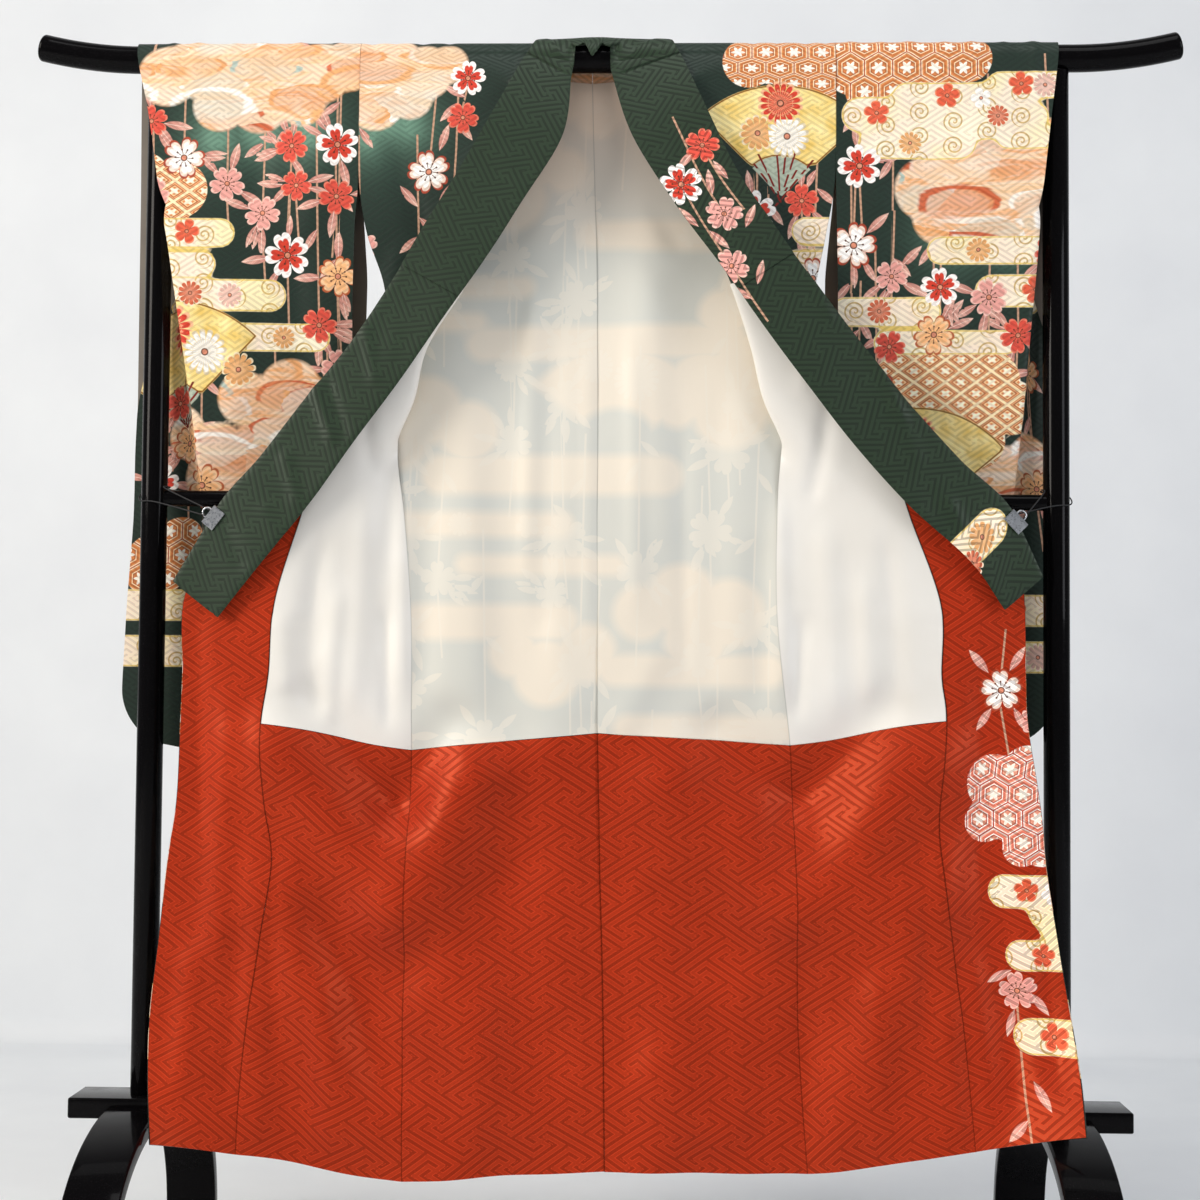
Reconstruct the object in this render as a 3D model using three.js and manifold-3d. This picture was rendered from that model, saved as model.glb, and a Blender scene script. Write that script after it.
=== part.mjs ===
// A long-sleeved ceremonial kimono hung open on a lacquered clothes stand.
// Millimetres, +X to the wearer's left, -Y towards the viewer, +Z up; the origin is on the floor
// under the middle of the stand. "right" and "left" are the wearer's own sides.
import * as THREE from "three";
import Module from "manifold-3d";
import { mergeVertices } from "three/addons/utils/BufferGeometryUtils.js";

const wasm = await Module();
wasm.setup();

// ---- driving dimensions -------------------------------------------------------------------
const seamGap = 0.4; // between two pieces of cloth, or cloth and wood
const silk = 1.2; // wall of the outer silk
const lining = 1.0; // wall of the lining
const liningGap = 0.5; // between a panel and its lining
const collarWall = 2.6; // the folded collar strip
const overCollarWall = 1.0; // the cover strip sewn over it
const bar = { height: 1828, radius: 20.5, reach: 860, straight: 700, lift: 20 };
const post = { x: 675, radius: 19.5 };
const rail = { height: 1159, radius: 12 };
const beam = { top: 272, thick: 30, depth: 89, reach: 776 };
const foot = { top: 262, reach: 340, wide: 80, thick: 22, power: 2.4 };
const hug = bar.radius + 2.7; // radius of the cloth's middle where it bends over the bar

// ---- tables -------------------------------------------------------------------------------
// A table's rows become objects keyed by the column names.
function table(columns, rows) {
  const names = columns.trim().split(/\s+/);
  return rows.map((row) => Object.fromEntries(names.map((name, i) => [name, row[i]])));
}

// Sections of one body half from the shoulder line (row 0) to the hem (row 18). out is the distance
// from x = 0 to that side, y is the depth and z the height of each point:
// side = side seam, fold = where the opened front turns over, seam = front panel's seam to the
// overlap panel, edge = that panel's outer edge.
const sectionColumns =
  "sideOut sideZ backY frontY foldOut seamOut seamZ seamY edgeOut edgeZ edgeY";
const sections = {
  right: table(sectionColumns, [
    [369, 1851, 0, 0, 235, 100, 1851, 0, 100, 1851, 0],
    [369, 1828, 23.2, -23.2, 240, 118, 1828, -24, 118, 1828, -24],
    [369, 1745, 24, -27, 130, 160, 1745, -46, 160, 1745, -46],
    [368, 1640, 20, -28, 158, 217, 1640, -54, 217, 1640, -54],
    [355, 1557, 6, -28, 176, 258, 1557, -58, 266, 1557, -60],
    [328, 1477, -9, -25, 205, 296, 1477, -59, 311, 1477, -62],
    [318, 1384, -15, -25, 262, 343, 1384, -60, 371, 1384, -64],
    [311, 1300, -18, -26, 286, 385, 1300, -60, 438, 1300, -64],
    [304, 1216, -20, -26, 332, 418, 1216, -60, 502, 1216, -62],
    [293, 1132, -23, -24, 352, 441, 1132, -60, 571, 1132, -58],
    [283, 1004, -26, -26, 381, 479, 1004, -58, 615, 1004, -52],
    [280, 900, -28, -28, 386, 487, 900, -56, 616, 900, -50],
    [279, 785, -30, -30, 388, 495, 822, -56, 618, 815, -50],
    [280, 690, -32, -32, 388, 489, 711, -57, 621, 709, -52],
    [281, 600, -35, -35, 382, 477, 616, -60, 632, 620, -55],
    [282, 490, -39, -39, 390, 492, 505, -65, 641, 510, -61],
    [283, 380, -47, -47, 398, 506, 400, -70, 649, 405, -72],
    [282, 270, -54, -54, 402, 515, 300, -76, 644, 315, -98],
    [280, 163, -59, -59, 404, 519, 203, -84, 629, 228, -140],
  ]),
  left: table(sectionColumns, [
    [345, 1851, 0, 0, 220, 96, 1851, 0, 96, 1851, 0],
    [345, 1828, 23.2, -23.2, 228, 112, 1828, -24, 112, 1828, -24],
    [345, 1745, 24, -27, 112, 149, 1745, -46, 149, 1745, -46],
    [344, 1640, 20, -28, 136, 199, 1640, -54, 199, 1640, -54],
    [331, 1557, 6, -28, 156, 246, 1557, -58, 254, 1557, -60],
    [315, 1477, -9, -25, 190, 295, 1477, -59, 310, 1477, -62],
    [297, 1384, -15, -25, 222, 352, 1384, -60, 381, 1384, -64],
    [280, 1300, -18, -26, 248, 393, 1300, -60, 447, 1300, -64],
    [265, 1216, -20, -26, 302, 425, 1216, -60, 523, 1216, -62],
    [260, 1132, -23, -24, 345, 452, 1132, -60, 605, 1132, -58],
    [260, 1004, -26, -26, 379, 497, 1004, -58, 619, 1004, -52],
    [268, 900, -28, -28, 384, 499, 900, -56, 621, 900, -50],
    [280, 797, -30, -30, 392, 505, 834, -56, 624, 828, -50],
    [285, 700, -32, -32, 389, 493, 700, -59, 641, 703, -56],
    [288, 610, -35, -35, 393, 499, 611, -64, 647, 625, -62],
    [290, 500, -39, -39, 401, 512, 502, -72, 661, 525, -76],
    [292, 390, -47, -47, 408, 525, 395, -84, 674, 425, -102],
    [298, 285, -54, -54, 415, 533, 300, -100, 680, 340, -146],
    [306, 182, -59, -59, 422, 538, 229, -118, 678, 268, -196],
  ]),
};

// The centre-back seam at the same rows, from the neckline (row 0) to the hem.
const centreSeam = table("x y z", [
  [-20, 23.2, 1822],
  [-20, 23.4, 1796],
  [-18, 20, 1720],
  [-15, 15, 1630],
  [-12, 9, 1550],
  [-10, 3, 1470],
  [-9, -3, 1384],
  [-8, -9, 1300],
  [-7, -15, 1216],
  [-7, -19, 1132],
  [-5, -24, 1004],
  [-4, -28, 910],
  [-3, -31, 812],
  [0, -34, 700],
  [2, -37, 610],
  [6, -42, 500],
  [9, -48, 390],
  [11, -55, 285],
  [13, -59, 180],
]);

// The collar's free edge at the body's rows 0 to 9, and its end under the clip (row 10).
const collarColumns = "out y z";
const collarFreeEdge = {
  right: table(collarColumns, [
    [46, -29, 1812],
    [50, -31, 1790],
    [62, -50, 1696],
    [124, -62, 1589],
    [174, -70, 1507],
    [228, -75, 1427],
    [294, -78, 1329],
    [361, -78, 1237],
    [421, -77, 1152],
    [489, -73, 1067],
    [560, -66, 978],
  ]),
  left: table(collarColumns, [
    [8, -29, 1812],
    [12, -31, 1790],
    [42, -50, 1697],
    [104, -62, 1595],
    [171, -70, 1503],
    [228, -75, 1421],
    [300, -78, 1322],
    [366, -78, 1237],
    [447, -77, 1147],
    [537, -73, 1066],
    [587, -66, 997],
  ]),
};
const collarEnd = { right: [630, -56, 1031], left: [644, -57, 1046] };
const lastCollarRow = 10;
const overCollarEnd = { right: 4.75, left: 4.5 }; // row where the cover strip stops
const linedRow = 12; // row of the seam between upper and hem lining
const linedFrom = 5; // row where the front's lining comes out behind the collar
const overlapFrom = 4; // row where the overlap panel begins
const overlapLinedFrom = 8; // row where its lining comes out behind the collar
const shoulderStart = 0.02; // angle behind or in front of the bar's crest where the panels meet

// One sleeve, hung over the bar with its lower part behind post and rail. Front layer:
// inner = edge at the body, fold = where it turns back beside the post, outer = its edge.
// turn is 0 where the cloth beyond the fold runs on flat and 1 where it goes back round the post.
const sleeveFrontColumns = "z inner innerY fold foldY outer outerY turn";
const sleeveBackColumns = "z inner innerY outer outerY";
const sleeves = {
  right: {
    bottom: 784,
    front: table(sleeveFrontColumns, [
      [1828, 369, -23.2, 640, -23.2, 708, -23.2, 0],
      [1745, 369, -27, 640, -28, 688, -30, 0],
      [1680, 368.6, -27.8, 640, -31, 677, -34, 0],
      [1620, 369, -28, 650, -34, 668, -37, 0],
      [1580, 373, -28, 661, -37, 648, -26, 1],
      [1540, 374, -27, 653, -37, 643, -2, 1],
      [1500, 375, -25, 647, -35, 641, 24, 1],
      [1450, 376, -21, 640, -30, 664, 33, 1],
      [1400, 376, -16, 633, -25, 692, 37, 1],
      [1304, 376, -4, 620, -10, 714, 41.4, 1],
      [1230, 376, 8, 614, 6, 717, 43.4, 1],
      [1185, 376, 15, 609, 15, 717, 44.4, 1],
      [1130, 376, 17, 605, 18, 718, 45.4, 1],
      [1000, 376, 23, 600, 24, 726, 45.4, 1],
      [874, 376, 34, 600, 34, 731, 45.4, 1],
      [784, 376, 45.4, 600, 45.4, 731, 45.4, 1],
    ]),
    back: table(sleeveBackColumns, [
      [1828, 369, 23.2, 712, 23.2],
      [1745, 369, 24, 712, 26],
      [1620, 368.6, 19, 712, 31],
      [1500, 361, 30, 713, 36],
      [1304, 366, 42, 714, 43],
      [1130, 372, 46, 718, 47],
      [874, 372, 47, 731, 47],
      [784, 372, 47, 731, 47],
    ]),
  },
  left: {
    bottom: 796,
    front: table(sleeveFrontColumns, [
      [1828, 345, -23.2, 630, -23.2, 676, -23.2, 0],
      [1745, 345, -27, 630, -28, 665, -30, 0],
      [1680, 344.6, -27.8, 630, -31, 657, -34, 0],
      [1620, 345, -28, 638, -34, 650, -37, 0],
      [1580, 346, -28, 646, -37, 640, -26, 1],
      [1540, 347, -27, 643, -37, 638, -2, 1],
      [1500, 348, -25, 640, -35, 638, 24, 1],
      [1450, 349, -21, 636, -30, 654, 33, 1],
      [1400, 349, -16, 632, -25, 672, 37, 1],
      [1304, 349, -4, 626, -10, 684, 41.4, 1],
      [1230, 349, 8, 620, 6, 686, 43.4, 1],
      [1185, 349, 15, 616, 15, 686, 44.4, 1],
      [1130, 349, 17, 612, 18, 686, 45.4, 1],
      [1000, 349, 23, 606, 24, 686, 45.4, 1],
      [874, 349, 34, 600, 34, 686, 45.4, 1],
      [784, 349, 45.4, 600, 45.4, 686, 45.4, 1],
    ]),
    back: table(sleeveBackColumns, [
      [1828, 345, 23.2, 680, 23.2],
      [1745, 345, 24, 680, 26],
      [1620, 344.6, 19, 681, 31],
      [1500, 333, 30, 682, 36],
      [1304, 338, 42, 684, 43],
      [1130, 343, 46, 686, 47],
      [874, 343, 47, 686, 47],
      [784, 343, 47, 686, 47],
    ]),
  },
};
const sleeveCorner = 90; // radius of the sleeve's lower outer corner

const colours = {
  silk: 0x2f4636,
  collar: 0x33493a,
  upperLining: 0xf1ead9,
  hemLining: 0xb8341c,
  lacquer: 0x0b0a0b,
  steel: 0xb9bcc0,
};
const finishes = {
  silk: { color: colours.silk, roughness: 0.5, metalness: 0 },
  collar: { color: colours.collar, roughness: 0.5, metalness: 0 },
  upperLining: { color: colours.upperLining, roughness: 0.6, metalness: 0 },
  hemLining: { color: colours.hemLining, roughness: 0.45, metalness: 0 },
  lacquer: { color: colours.lacquer, roughness: 0.12, metalness: 0 },
  steel: { color: colours.steel, roughness: 0.3, metalness: 1 },
};

// ---- shared geometry ----------------------------------------------------------------------
const group = new THREE.Group();
const sideSign = { right: -1, left: 1 };

function add(name, geometry, finish) {
  const mesh = new THREE.Mesh(geometry, new THREE.MeshStandardMaterial(finishes[finish]));
  mesh.name = name;
  group.add(mesh);
  return mesh;
}

const mix = THREE.MathUtils.lerp;

// A column of a table at a fractional row: a Catmull-Rom curve through the rows.
function spline(rows, column, row) {
  const last = rows.length - 1;
  const i = Math.min(Math.max(Math.floor(row), 0), last - 1);
  const t = row - i;
  const value = (k) => rows[Math.min(Math.max(k, 0), last)][column];
  const [a, b, c, d] = [value(i - 1), value(i), value(i + 1), value(i + 2)];
  const slopeB = i === 0 ? c - b : (c - a) / 2;
  const slopeC = i === last - 1 ? c - b : (d - b) / 2;
  const t2 = t * t;
  const t3 = t2 * t;
  const towards = 3 * t2 - 2 * t3;
  return mix(b, c, towards) + (t3 - 2 * t2 + t) * slopeB + (t3 - t2) * slopeC;
}

// A column of a table whose rows are keyed by height, at height z, in straight steps.
function atHeight(rows, column, z) {
  let i = 0;
  while (i < rows.length - 2 && rows[i + 1].z > z) i += 1;
  const t = THREE.MathUtils.clamp((rows[i].z - z) / (rows[i].z - rows[i + 1].z), 0, 1);
  return mix(rows[i][column], rows[i + 1][column], t);
}

// Depth and height of cloth bent over the bar, at an angle from the crest: + behind, - in front.
function overBar(angle, radius = hug) {
  return [radius * Math.sin(angle), bar.height + radius * Math.cos(angle)];
}

// A cloth wall: middle(a, b) is its middle surface, sampled at the values across and along.
// lift moves it off that surface along the normal, so layers that share a surface stay parallel.
function cloth(middle, across, along, wall, lift = 0, flip = 1) {
  const step = 1e-3;
  const columns = across.length;
  const rows = along.length;
  const faces = [[], []];
  for (const b of along) {
    for (const a of across) {
      const p = middle(a, b);
      const alongA = middle(a + step, b).sub(middle(a - step, b));
      const alongB = middle(a, b + step).sub(middle(a, b - step));
      const normal = alongA.cross(alongB).normalize().multiplyScalar(flip);
      faces[0].push(p.clone().addScaledVector(normal, lift + wall / 2));
      faces[1].push(p.clone().addScaledVector(normal, lift - wall / 2));
    }
  }
  const positions = [...faces[0], ...faces[1]].flatMap((p) => p.toArray());
  const under = columns * rows;
  const index = [];
  const quad = (p, q, r, s) => index.push(p, q, r, p, r, s);
  for (let j = 0; j < rows - 1; j += 1) {
    for (let i = 0; i < columns - 1; i += 1) {
      const k = j * columns + i;
      quad(k, k + 1, k + columns + 1, k + columns);
      quad(under + k, under + k + columns, under + k + columns + 1, under + k + 1);
    }
  }
  const rim = [];
  for (let i = 0; i < columns - 1; i += 1) rim.push(i);
  for (let j = 0; j < rows - 1; j += 1) rim.push(j * columns + columns - 1);
  for (let i = columns - 1; i > 0; i -= 1) rim.push((rows - 1) * columns + i);
  for (let j = rows - 1; j > 0; j -= 1) rim.push(j * columns);
  rim.forEach((k, n) => {
    const next = rim[(n + 1) % rim.length];
    quad(k, under + k, under + next, next);
  });
  const geometry = new THREE.BufferGeometry();
  geometry.setAttribute("position", new THREE.Float32BufferAttribute(positions, 3));
  geometry.setIndex(index);
  return facingOut(geometry);
}

// Turns a closed mesh's faces round where they point inwards.
function facingOut(geometry) {
  const p = geometry.getAttribute("position");
  const index = geometry.index.array;
  const corner = (n) => new THREE.Vector3().fromBufferAttribute(p, index[n]);
  let volume = 0;
  for (let n = 0; n < index.length; n += 3) {
    volume += corner(n).dot(corner(n + 1).cross(corner(n + 2)));
  }
  if (volume < 0) {
    for (let n = 0; n < index.length; n += 3) {
      [index[n + 1], index[n + 2]] = [index[n + 2], index[n + 1]];
    }
  }
  return geometry;
}

// count + 1 evenly spaced values from first to last.
function spread(first, last, count) {
  return Array.from({ length: count + 1 }, (_, i) => mix(first, last, i / count));
}

// ---- back panels --------------------------------------------------------------------------
const backFolds = { depth: 5, count: 1.5, neck: 1.25 }; // neck = angle over the bar at the neckline

// Point of a back panel: u from the centre seam (0) to the side seam (1), row from the shoulder.
function backPoint(side, u, row) {
  const sign = sideSign[side];
  const rows = sections[side];
  const middle = spline(centreSeam, "x", row) + (sign * seamGap) / 2;
  const x = mix(middle, sign * spline(rows, "sideOut", row), u);
  const fold = backFolds.depth * Math.sin(Math.PI * 2 * backFolds.count * u) * Math.sin(Math.PI * u);
  if (row <= 1) {
    // over the bar: the neckline drops behind it between the shoulders
    const neck = THREE.MathUtils.smoothstep(Math.abs(x), 0, rows[0].seamOut + 8);
    const start = mix(backFolds.neck, shoulderStart, neck);
    const drop = (Math.PI / 2) * hug + (bar.height - centreSeam[1].z) * (1 - u);
    const run = mix(start * hug, drop, row);
    const [y, z] = overBar(Math.min(run / hug, Math.PI / 2));
    return new THREE.Vector3(x, y, z - Math.max(run - (Math.PI / 2) * hug, 0));
  }
  const drape = Math.min(row - 1, 1);
  const y = mix(spline(centreSeam, "y", row), spline(rows, "backY", row), u);
  const z = mix(spline(centreSeam, "z", row), spline(rows, "sideZ", row), u);
  return new THREE.Vector3(x, y - fold * drape, z);
}

// ---- front and overlap panels -------------------------------------------------------------
// Point of a front panel: u from the side seam (0) over the fold to the seam of the overlap (1).
// The section is a cubic whose two inner control points sit at the fold, one on each layer.
function frontPoint(side, u, row) {
  const sign = sideSign[side];
  const rows = sections[side];
  const at = (column) => spline(rows, column, row);
  const sideOut = at("sideOut") + (row >= 9 ? seamGap : 0);
  const seamOut = at("seamOut") - (row >= overlapFrom ? seamGap / 2 : 0);
  const middleOut = (sideOut + seamOut) / 2;
  const turnOut = (at("foldOut") - middleOut / 4) / 0.75;
  const w = [(1 - u) ** 3, 3 * (1 - u) ** 2 * u, 3 * (1 - u) * u * u, u ** 3];
  const out = w[0] * sideOut + (w[1] + w[2]) * turnOut + w[3] * seamOut;
  const x = sign * out;
  if (row <= 1) {
    const [y, z] = overBar(-mix(shoulderStart, Math.PI / 2, row));
    return new THREE.Vector3(x, y, z);
  }
  const near = at("frontY");
  const far = at("seamY");
  const inside = mix(near, far, 0.25);
  const outside = mix(near, far, 0.85);
  const y = w[0] * near + w[1] * inside + w[2] * outside + w[3] * far;
  const z = mix(at("sideZ"), at("seamZ"), u);
  return new THREE.Vector3(x, y, z);
}

// Point of an overlap panel: u from its seam to the front (0) to its outer edge (1).
function overlapPoint(side, u, row) {
  const rows = sections[side];
  const at = (column) => spline(rows, column, row);
  const out = mix(at("seamOut") + seamGap / 2, at("edgeOut"), u);
  const ridge = 6 * Math.sin(Math.PI * u) * THREE.MathUtils.smoothstep(row, 10, 14);
  const y = mix(at("seamY"), at("edgeY"), u) + ridge;
  return new THREE.Vector3(sideSign[side] * out, y, mix(at("seamZ"), at("edgeZ"), u));
}

const backAcross = spread(0, 1, 6);
const frontAcross = spread(0, 1, 9);
const overlapAcross = spread(0, 1, 3);
const shoulderRows = [0, 0.25, 0.5, 0.75, 1];
const bodyRows = spread(2, 18, 16);
const barRows = [...shoulderRows, 1.5, ...bodyRows];
const between = (first, last) => bodyRows.filter((row) => row >= first && row <= last);
const liningLift = silk / 2 + liningGap + lining / 2;
const trimmed = (across) => spread(0.005, 0.997, across.length - 1);
const foldEase = 0.4; // more room under the lining where the front turns over
const seamRows = 0.004; // half the gap between upper and hem lining, in rows

for (const side of ["right", "left"]) {
  const face = -sideSign[side];
  const upper = [...between(2, linedRow - 1), linedRow - seamRows];
  const lower = [linedRow + seamRows, ...between(linedRow + 1, 18)];
  const back = (u, row) => backPoint(side, u, row);
  const front = (u, row) => frontPoint(side, u, row);
  const overlap = (u, row) => overlapPoint(side, u, row);
  const panel = (name, middle, across, along, wall, lift, finish) =>
    add(`${name}_${side}`, cloth(middle, across, along, wall, lift, face), finish);
  panel("back", back, backAcross, barRows, silk, 0, "silk");
  panel("upper_lining_back", back, backAcross, upper, lining, liningLift, "upperLining");
  panel("hem_lining_back", back, backAcross, lower, lining, liningLift, "hemLining");
  panel("front", front, frontAcross, barRows, silk, 0, "silk");
  const frontUpper = upper.filter((row) => row >= linedFrom);
  const easedLift = liningLift + foldEase;
  panel("upper_lining_front", front, trimmed(frontAcross), frontUpper, lining, easedLift, "upperLining");
  panel("hem_lining_front", front, trimmed(frontAcross), lower, lining, liningLift, "hemLining");
  panel("overlap", overlap, overlapAcross, between(overlapFrom, 18), silk, 0, "silk");
  const overlapLined = between(overlapLinedFrom, 18);
  panel("overlap_lining", overlap, trimmed(overlapAcross), overlapLined, lining, liningLift, "hemLining");
}

// ---- collar -------------------------------------------------------------------------------
// The collar strip runs from the right clip up to the neck, over the bar and down to the left clip.
// station is -11..-1 on the right side (body row + 1), -1..1 round the neck, 1..11 on the left.
// how far the collar's middle lies in front of the panel edge's middle
const stack = silk / 2 + liningGap + lining + seamGap + collarWall / 2;

function collarSides(side, row) {
  const sign = sideSign[side];
  const rows = sections[side];
  const free = collarFreeEdge[side];
  const inner = new THREE.Vector3(
    sign * spline(free, "out", row), spline(free, "y", row) - stack, spline(free, "z", row));
  if (row <= 1) {
    const [y, z] = overBar(-mix(shoulderStart, Math.PI / 2, row), hug + stack);
    return [new THREE.Vector3(sign * spline(rows, "edgeOut", row), y, z), inner];
  }
  const last = new THREE.Vector3(sign * collarEnd[side][0], collarEnd[side][1], collarEnd[side][2]);
  const edge = (r) => {
    const [out, y, z] = ["edgeOut", "edgeY", "edgeZ"].map((column) => spline(rows, column, r));
    return new THREE.Vector3(sign * out, y, z);
  };
  const outer = row <= 9 ? edge(row) : edge(9).lerp(last, row - 9);
  outer.y -= stack;
  return [outer, inner];
}

// Half-angle of the strip round the bar at the neck: its free edge comes over to the front in two
// shallow scallops that meet in a small dip at the centre seam.
const neckCurve = { rear: 1.2, front: -1.35, scallop: 0.35, rise: 3 };

function collarPoint(u, station) {
  const side = station < 0 ? "right" : "left";
  const reach = Math.abs(station);
  if (reach >= 1) {
    const [outer, inner] = collarSides(side, Math.min(reach - 1, lastCollarRow));
    const p = outer.lerp(inner, u);
    const [dy, dz] = [p.y, p.z - bar.height];
    const away = Math.hypot(dy, dz);
    const clear = hug + stack + 5 * u;
    if (away < clear && reach < 3.5) {
      p.y = (dy / away) * clear;
      p.z = bar.height + (dz / away) * clear;
    }
    return p;
  }
  const [outerR, innerR] = collarSides("right", 0);
  const [outerL, innerL] = collarSides("left", 0);
  const t = (station + 1) / 2;
  const x = mix(mix(outerR.x, innerR.x, u), mix(outerL.x, innerL.x, u), t);
  const bow = Math.sin(Math.PI * t);
  const start = mix(-shoulderStart, neckCurve.rear, Math.min(1, bow * 1.6));
  const dip = neckCurve.scallop * Math.cos(Math.PI * 4 * (t - 0.5)) * bow;
  const end = mix(-0.95, neckCurve.front, bow) - dip;
  const [y, z] = overBar(mix(start, end, u), hug + stack + neckCurve.rise * bow);
  return new THREE.Vector3(x, y, z);
}

const collarAcross = spread(0, 1, 4);
const neckStations = spread(-1, 1, 12);
const limb = (first, last) => spread(first, last, Math.round(Math.abs(last - first)));
const collarStations = [
  ...limb(-11, -3), -2.5, -2, -1.5, ...neckStations, 1.5, 2, 2.5, ...limb(3, 11),
];
add("collar", cloth(collarPoint, collarAcross, collarStations, collarWall), "collar");

const coverStations = [
  -(overCollarEnd.right + 1),
  ...collarStations.filter((s) => s > -(overCollarEnd.right + 1) && s < overCollarEnd.left + 1),
  overCollarEnd.left + 1,
];
const coverLift = collarWall / 2 + 0.3 + overCollarWall / 2;
add("over_collar", cloth(collarPoint, collarAcross, coverStations, overCollarWall, coverLift), "collar");

// ---- sleeves ------------------------------------------------------------------------------
// a runs from the body (0) over the fold (foldShare) to the outer edge (1); b from the bottom of
// the front layer (0) up over the bar (1 to 2) to the bottom of the back layer (3).
const foldShare = 0.6;

function rounded(out, outer, z, bottom) {
  const rise = THREE.MathUtils.clamp((z - bottom) / sleeveCorner, 0, 1);
  const inset = sleeveCorner * (1 - Math.sqrt(1 - (1 - rise) ** 2));
  return out * (1 - inset / outer);
}

function sleevePoint(side, a, b) {
  const { front, back, bottom } = sleeves[side];
  const sign = sideSign[side];
  const top = bar.height;
  const frontAt = (z) => {
    const at = (column) => atHeight(front, column, z);
    if (a <= foldShare) {
      const t = a / foldShare;
      return [mix(at("inner") + seamGap, at("fold"), t), mix(at("innerY"), at("foldY"), t)];
    }
    const t = (a - foldShare) / (1 - foldShare);
    const turn = at("turn");
    const bendOut = mix((at("fold") + at("outer")) / 2, at("fold"), turn);
    const bendY = mix((at("foldY") + at("outerY")) / 2, at("outerY") - 1, turn);
    const w = [(1 - t) ** 2, 2 * (1 - t) * t, t * t];
    return [
      w[0] * at("fold") + w[1] * bendOut + w[2] * at("outer"),
      w[0] * at("foldY") + w[1] * bendY + w[2] * at("outerY"),
    ];
  };
  const backAt = (z) => {
    const at = (column) => atHeight(back, column, z);
    return [mix(at("inner") + seamGap, at("outer"), a), mix(at("innerY"), at("outerY"), a)];
  };
  if (b > 1 && b < 2) {
    const x = mix(frontAt(top)[0], backAt(top)[0], b - 1);
    const [y, z] = overBar(mix(-Math.PI / 2, Math.PI / 2, b - 1));
    return new THREE.Vector3(sign * x, y, z);
  }
  const z = b <= 1 ? mix(bottom, top, b) : mix(top, bottom, b - 2);
  const [out, y] = b <= 1 ? frontAt(z) : backAt(z);
  const outer = b <= 1 ? atHeight(front, "outer", z) : atHeight(back, "outer", z);
  return new THREE.Vector3(sign * rounded(out, outer, z, bottom), y, z);
}

const sleeveAcross = [...spread(0, foldShare, 4), ...spread(foldShare, 1, 5).slice(1)];
const lowHeights = [0, 14, 42, sleeveCorner]; // above the sleeve's bottom, through its corner

for (const side of ["right", "left"]) {
  const { front, back, bottom } = sleeves[side];
  const share = (z) => (z - bottom) / (bar.height - bottom);
  const rise = front.map((row) => row.z).filter((z) => z > bottom + sleeveCorner + 20);
  const fall = back.map((row) => row.z).filter((z) => z > bottom + sleeveCorner + 20);
  const low = lowHeights.map((h) => share(bottom + h));
  const along = [
    ...low,
    ...rise.map(share).sort((p, q) => p - q),
    1.25, 1.5, 1.75,
    ...[...fall.map(share), ...low].map((s) => 3 - s).sort((p, q) => p - q),
  ];
  add(`sleeve_${side}`, cloth((a, b) => sleevePoint(side, a, b), sleeveAcross, along, silk), "silk");
}

// ---- stand --------------------------------------------------------------------------------
function solid(geometry) {
  const bare = geometry.clone();
  bare.deleteAttribute("normal");
  bare.deleteAttribute("uv");
  const merged = mergeVertices(bare, 1e-4);
  return new wasm.Manifold(
    new wasm.Mesh({
      numProp: 3,
      vertProperties: new Float32Array(merged.getAttribute("position").array),
      triVerts: new Uint32Array(merged.index.array),
    }),
  );
}

function fromSolid(made) {
  const mesh = made.getMesh();
  const geometry = new THREE.BufferGeometry();
  const positions = new Float32Array(mesh.vertProperties);
  geometry.setAttribute("position", new THREE.BufferAttribute(positions, 3));
  geometry.setIndex([...mesh.triVerts]);
  return geometry;
}

function rod(radius, length, sides = 24) {
  return new THREE.CylinderGeometry(radius, radius, length, sides);
}

// Top bar: round, straight between the posts, its ends swept up. Rings of points square to its line.
function sweptBar(steps, sides) {
  const ends = spread(0, 1, steps).map((t) => [mix(bar.straight, bar.reach, t), t]);
  const stations = [...ends.map(([x, t]) => [-x, t]).reverse(), ...ends];
  const positions = [];
  const index = [];
  stations.forEach(([x, t], i) => {
    const slope = (Math.sign(x) * 2 * bar.lift * t) / (bar.reach - bar.straight);
    const tilt = Math.atan(slope);
    for (let k = 0; k < sides; k += 1) {
      const angle = (2 * Math.PI * k) / sides;
      const up = bar.radius * Math.cos(angle);
      const z = bar.height + bar.lift * t * t + up * Math.cos(tilt);
      positions.push(x - up * Math.sin(tilt), bar.radius * Math.sin(angle), z);
      if (i === 0) continue;
      const [p, q] = [i * sides + k, i * sides + ((k + 1) % sides)];
      index.push(p - sides, p, q, p - sides, q, q - sides);
    }
  });
  const last = (stations.length - 1) * sides;
  for (let k = 1; k < sides - 1; k += 1) index.push(0, k, k + 1, last, last + k + 1, last + k);
  const geometry = new THREE.BufferGeometry();
  geometry.setAttribute("position", new THREE.Float32BufferAttribute(positions, 3));
  geometry.setIndex(index);
  return facingOut(geometry);
}

add("top_bar", sweptBar(6, 32), "lacquer");

const barTool = solid(
  rod(bar.radius + 0.3, 2 * bar.straight, 40).rotateZ(Math.PI / 2).translate(0, 0, bar.height),
);
const postTop = bar.height - 2;
for (const side of ["right", "left"]) {
  const x = sideSign[side] * post.x;
  const length = postTop - beam.top - 0.3;
  const stem = rod(post.radius, length, 28)
    .rotateX(Math.PI / 2)
    .translate(x, 0, beam.top + 0.3 + length / 2);
  add(`post_${side}`, fromSolid(solid(stem).subtract(barTool)), "lacquer");
}

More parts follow.
